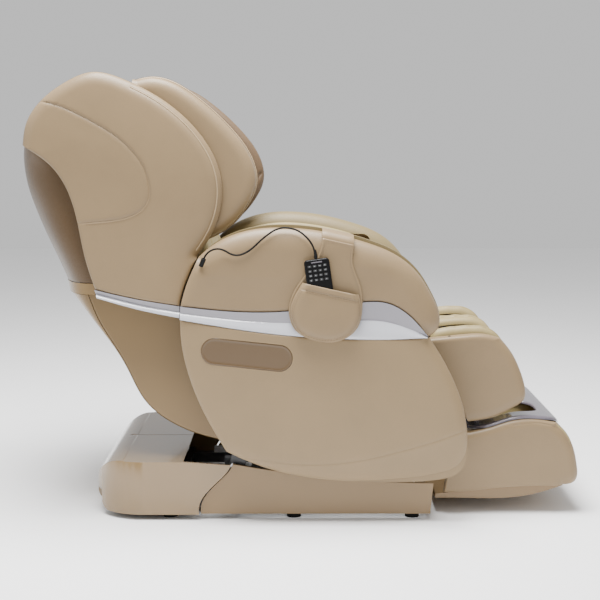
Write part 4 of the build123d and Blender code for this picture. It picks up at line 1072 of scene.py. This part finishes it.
def foot_lining():
    """The soft lining with its two wells, as one quilted surface seen from above, over a flat underside."""
    top = spline((462, 227.5), (500, 236.5), (550, 252.5), (600, 258.5), (640, 255.5), (684, 243.5), (716, 205))
    xs, ys = np.linspace(0.462, 0.716, 86), np.linspace(-0.2595, 0.2595, 150)
    X, Y = np.meshgrid(xs, ys, indexing="ij")
    rim = np.interp(X, top[:, 0], top[:, 1])
    wall_x = np.minimum(X - 0.492, 0.648 - X)
    wall_y = np.minimum(np.abs(Y) - 0.043, 0.205 - np.abs(Y))
    inside_well = np.minimum(wall_x, wall_y)
    drop = np.clip((inside_well + 0.006) / 0.016, 0, 1)
    drop = drop * drop * (3 - 2 * drop)
    floor_z = np.full(X.shape, 0.1185)
    pit = (np.abs(X - 0.560) < 0.027) & (np.abs(np.abs(Y) - 0.124) < 0.072)
    floor_z[pit] = 0.0905
    Z = rim * (1 - drop) + floor_z * drop
    quilt = groove(np.abs(Y) - 0.205 - 0.028, 0.003, 0.002) + groove(X - 0.668, 0.003, 0.002)
    Z = Z - quilt * (1 - drop) - 0.004 * np.exp(-np.abs(inside_well) / 0.006) * (1 - drop)
    verts = np.vstack([np.column_stack([X.ravel(), Y.ravel(), Z.ravel()]),
                       np.column_stack([X.ravel(), Y.ravel(), np.full(X.size, LINING_FLOOR)])])
    lining = make_mesh("foot_lining", verts, solid_faces(*X.shape), 60)
    dress(lining, "foot", OLIVE_LEATHER, "leather_olive", "foot_liner", padded=0.6)


foot_rim()
foot_lining()


def inflate(obj, cap, voxel=0.006, frames=20):
    """Swells a closed form with a short cloth simulation, and keeps the result within a cap."""
    remesh = obj.modifiers.new("remesh", "REMESH")
    remesh.mode, remesh.voxel_size = "VOXEL", voxel
    settle(obj)
    before = read_points(obj)
    cloth = obj.modifiers.new("cloth", "CLOTH")
    cloth.settings.use_pressure = True
    cloth.settings.uniform_pressure_force = 4
    cloth.settings.effector_weights.gravity = 0
    cloth.point_cache.frame_start, cloth.point_cache.frame_end = 1, frames
    for number in range(1, frames + 1):
        bpy.context.scene.frame_set(number)
    settle(obj)
    after = read_points(obj)
    move = after - before
    size = np.linalg.norm(move, axis=1)[:, None]
    kept = before + move * np.minimum(1, cap / np.maximum(size, 1e-9))
    obj.data.vertices.foreach_set("co", kept.ravel())
    bpy.context.scene.frame_set(1)


def settle(obj):
    """Turns an object's modifiers into its mesh."""
    graph = bpy.context.evaluated_depsgraph_get()
    mesh = bpy.data.meshes.new_from_object(obj.evaluated_get(graph))
    obj.modifiers.clear()
    obj.data = mesh


def pillow():
    """The head pillow: a slack pad in the space of its CAD solid, swollen and then sewn across."""
    lo, hi = (np.array(c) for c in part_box("pillow"))
    points = read_points(NODES["pillow"])
    middle = points.mean(axis=0)
    mesh = NODES["pillow"].data.copy()
    mesh.materials.clear()
    mesh.vertices.foreach_set("co", (middle + (points - middle) * (0.93, 0.96, 0.95)).ravel())
    pad = bpy.data.objects.new("head_pillow", mesh)
    bpy.context.collection.objects.link(pad)
    inflate(pad, 0.007)
    co = read_points(pad)
    width = (hi[1] - lo[1]) / 2
    across = (co[:, 1] - middle[1]) / width
    for seam in (-0.34, 0.34):
        pinch = np.exp(-((across - seam) / 0.035) ** 2)[:, None]
        co = co + (middle - co) * (1, 0, 1) * pinch * 0.10
    co = np.clip(co, lo - 0.004, hi + 0.004)
    pad.data.vertices.foreach_set("co", co.ravel())
    smooth = pad.modifiers.new("smooth", "SMOOTH")
    smooth.iterations = 4
    settle(pad)
    pad.data.shade_smooth()
    dress(pad, "pillow", BEIGE_LEATHER, "leather_beige", "pillow", padded=0.7)


pillow()

for name, width in (("base_rear_cover", 0.009), ("base_front_cover", 0.003)):
    weld = NODES[name].modifiers.new("weld", "WELD")
    weld.merge_threshold = 0.0002
    soft = NODES[name].modifiers.new("soft_edges", "BEVEL")
    soft.width, soft.segments = width, 4
    soft.limit_method, soft.angle_limit = "ANGLE", math.radians(35)
    soft.harden_normals = True

FINISHES = [
    (BLACK_STEEL, "base_frame carriage_frame seat_frame back_frame calf_frame"),
    (STEEL, "slide_rails tilt_actuator_rod recline_actuator_rod leg_actuator_rod hinge_pins pillow_bar"
            " foot_slide_bars"),
    (BLACK_MATTE, "power_inlet tilt_actuator_tube recline_actuator_tube leg_actuator_tube handset_buttons"),
    (GREY_PLASTIC, "power_supply air_pump control_board massage_carriage kneading_shaft foot_roller_left"
                   " foot_roller_right"),
    (RUBBER, "base_feet transport_wheel_left transport_wheel_right cable_gland"),
    (SAND_MATTE, "base_front_cover foot_bottom_cover"), (SAND_GLOSS, "base_rear_cover"),
    (BLACK_GLOSS, "mains_switch"), (DARK_TRIM, "calf_rear_panel"),
]
for material, names in FINISHES:
    for name in names.split():
        NODES[name].data.materials.clear()
        NODES[name].data.materials.append(material)


# ---- floor and light

floor_mesh = bpy.data.meshes.new("studio_floor")
floor_mesh.from_pydata([(-9, -9, 0), (9, -9, 0), (9, 9, 0), (-9, 9, 0)], [], [(0, 1, 2, 3)])
floor = bpy.data.objects.new("studio_floor", floor_mesh)
bpy.context.collection.objects.link(floor)
floor_material, tree, shader, co = nodes_of("studio_floor")
cloud = add(tree, "TexNoise", {"Vector": co, "Scale": 0.5})
tint = ramp(tree, cloud.outputs["Fac"], [(0.3, grey(0.93)), (0.7, grey(0.96))])
tree.links.new(tint, shader.inputs["Base Color"])
shader.inputs["Roughness"].default_value = 0.9
floor_mesh.materials.append(floor_material)

world = bpy.data.worlds.new("studio")
world.use_nodes = True
world.node_tree.nodes["Background"].inputs["Color"].default_value = (1, 1, 1, 1)
world.node_tree.nodes["Background"].inputs["Strength"].default_value = 0.72
bpy.context.scene.world = world


def lamp(name, where, aim, size, power):
    data = bpy.data.lights.new(name, "AREA")
    data.energy = power
    data.size = size
    obj = bpy.data.objects.new(name, data)
    obj.location = where
    obj.rotation_mode = "QUATERNION"
    obj.rotation_quaternion = (Vector(aim) - Vector(where)).to_track_quat("-Z", "Y")
    bpy.context.collection.objects.link(obj)


lamp("top_softbox", (-0.3, -0.6, 3.4), (-0.1, 0, 0.7), 2.0, 400)
lamp("front_softbox", (1.8, -3.2, 1.9), (0.1, 0, 0.5), 1.6, 5)
lamp("rear_softbox", (-2.8, -1.2, 1.8), (-0.2, 0, 0.7), 1.4, 10)
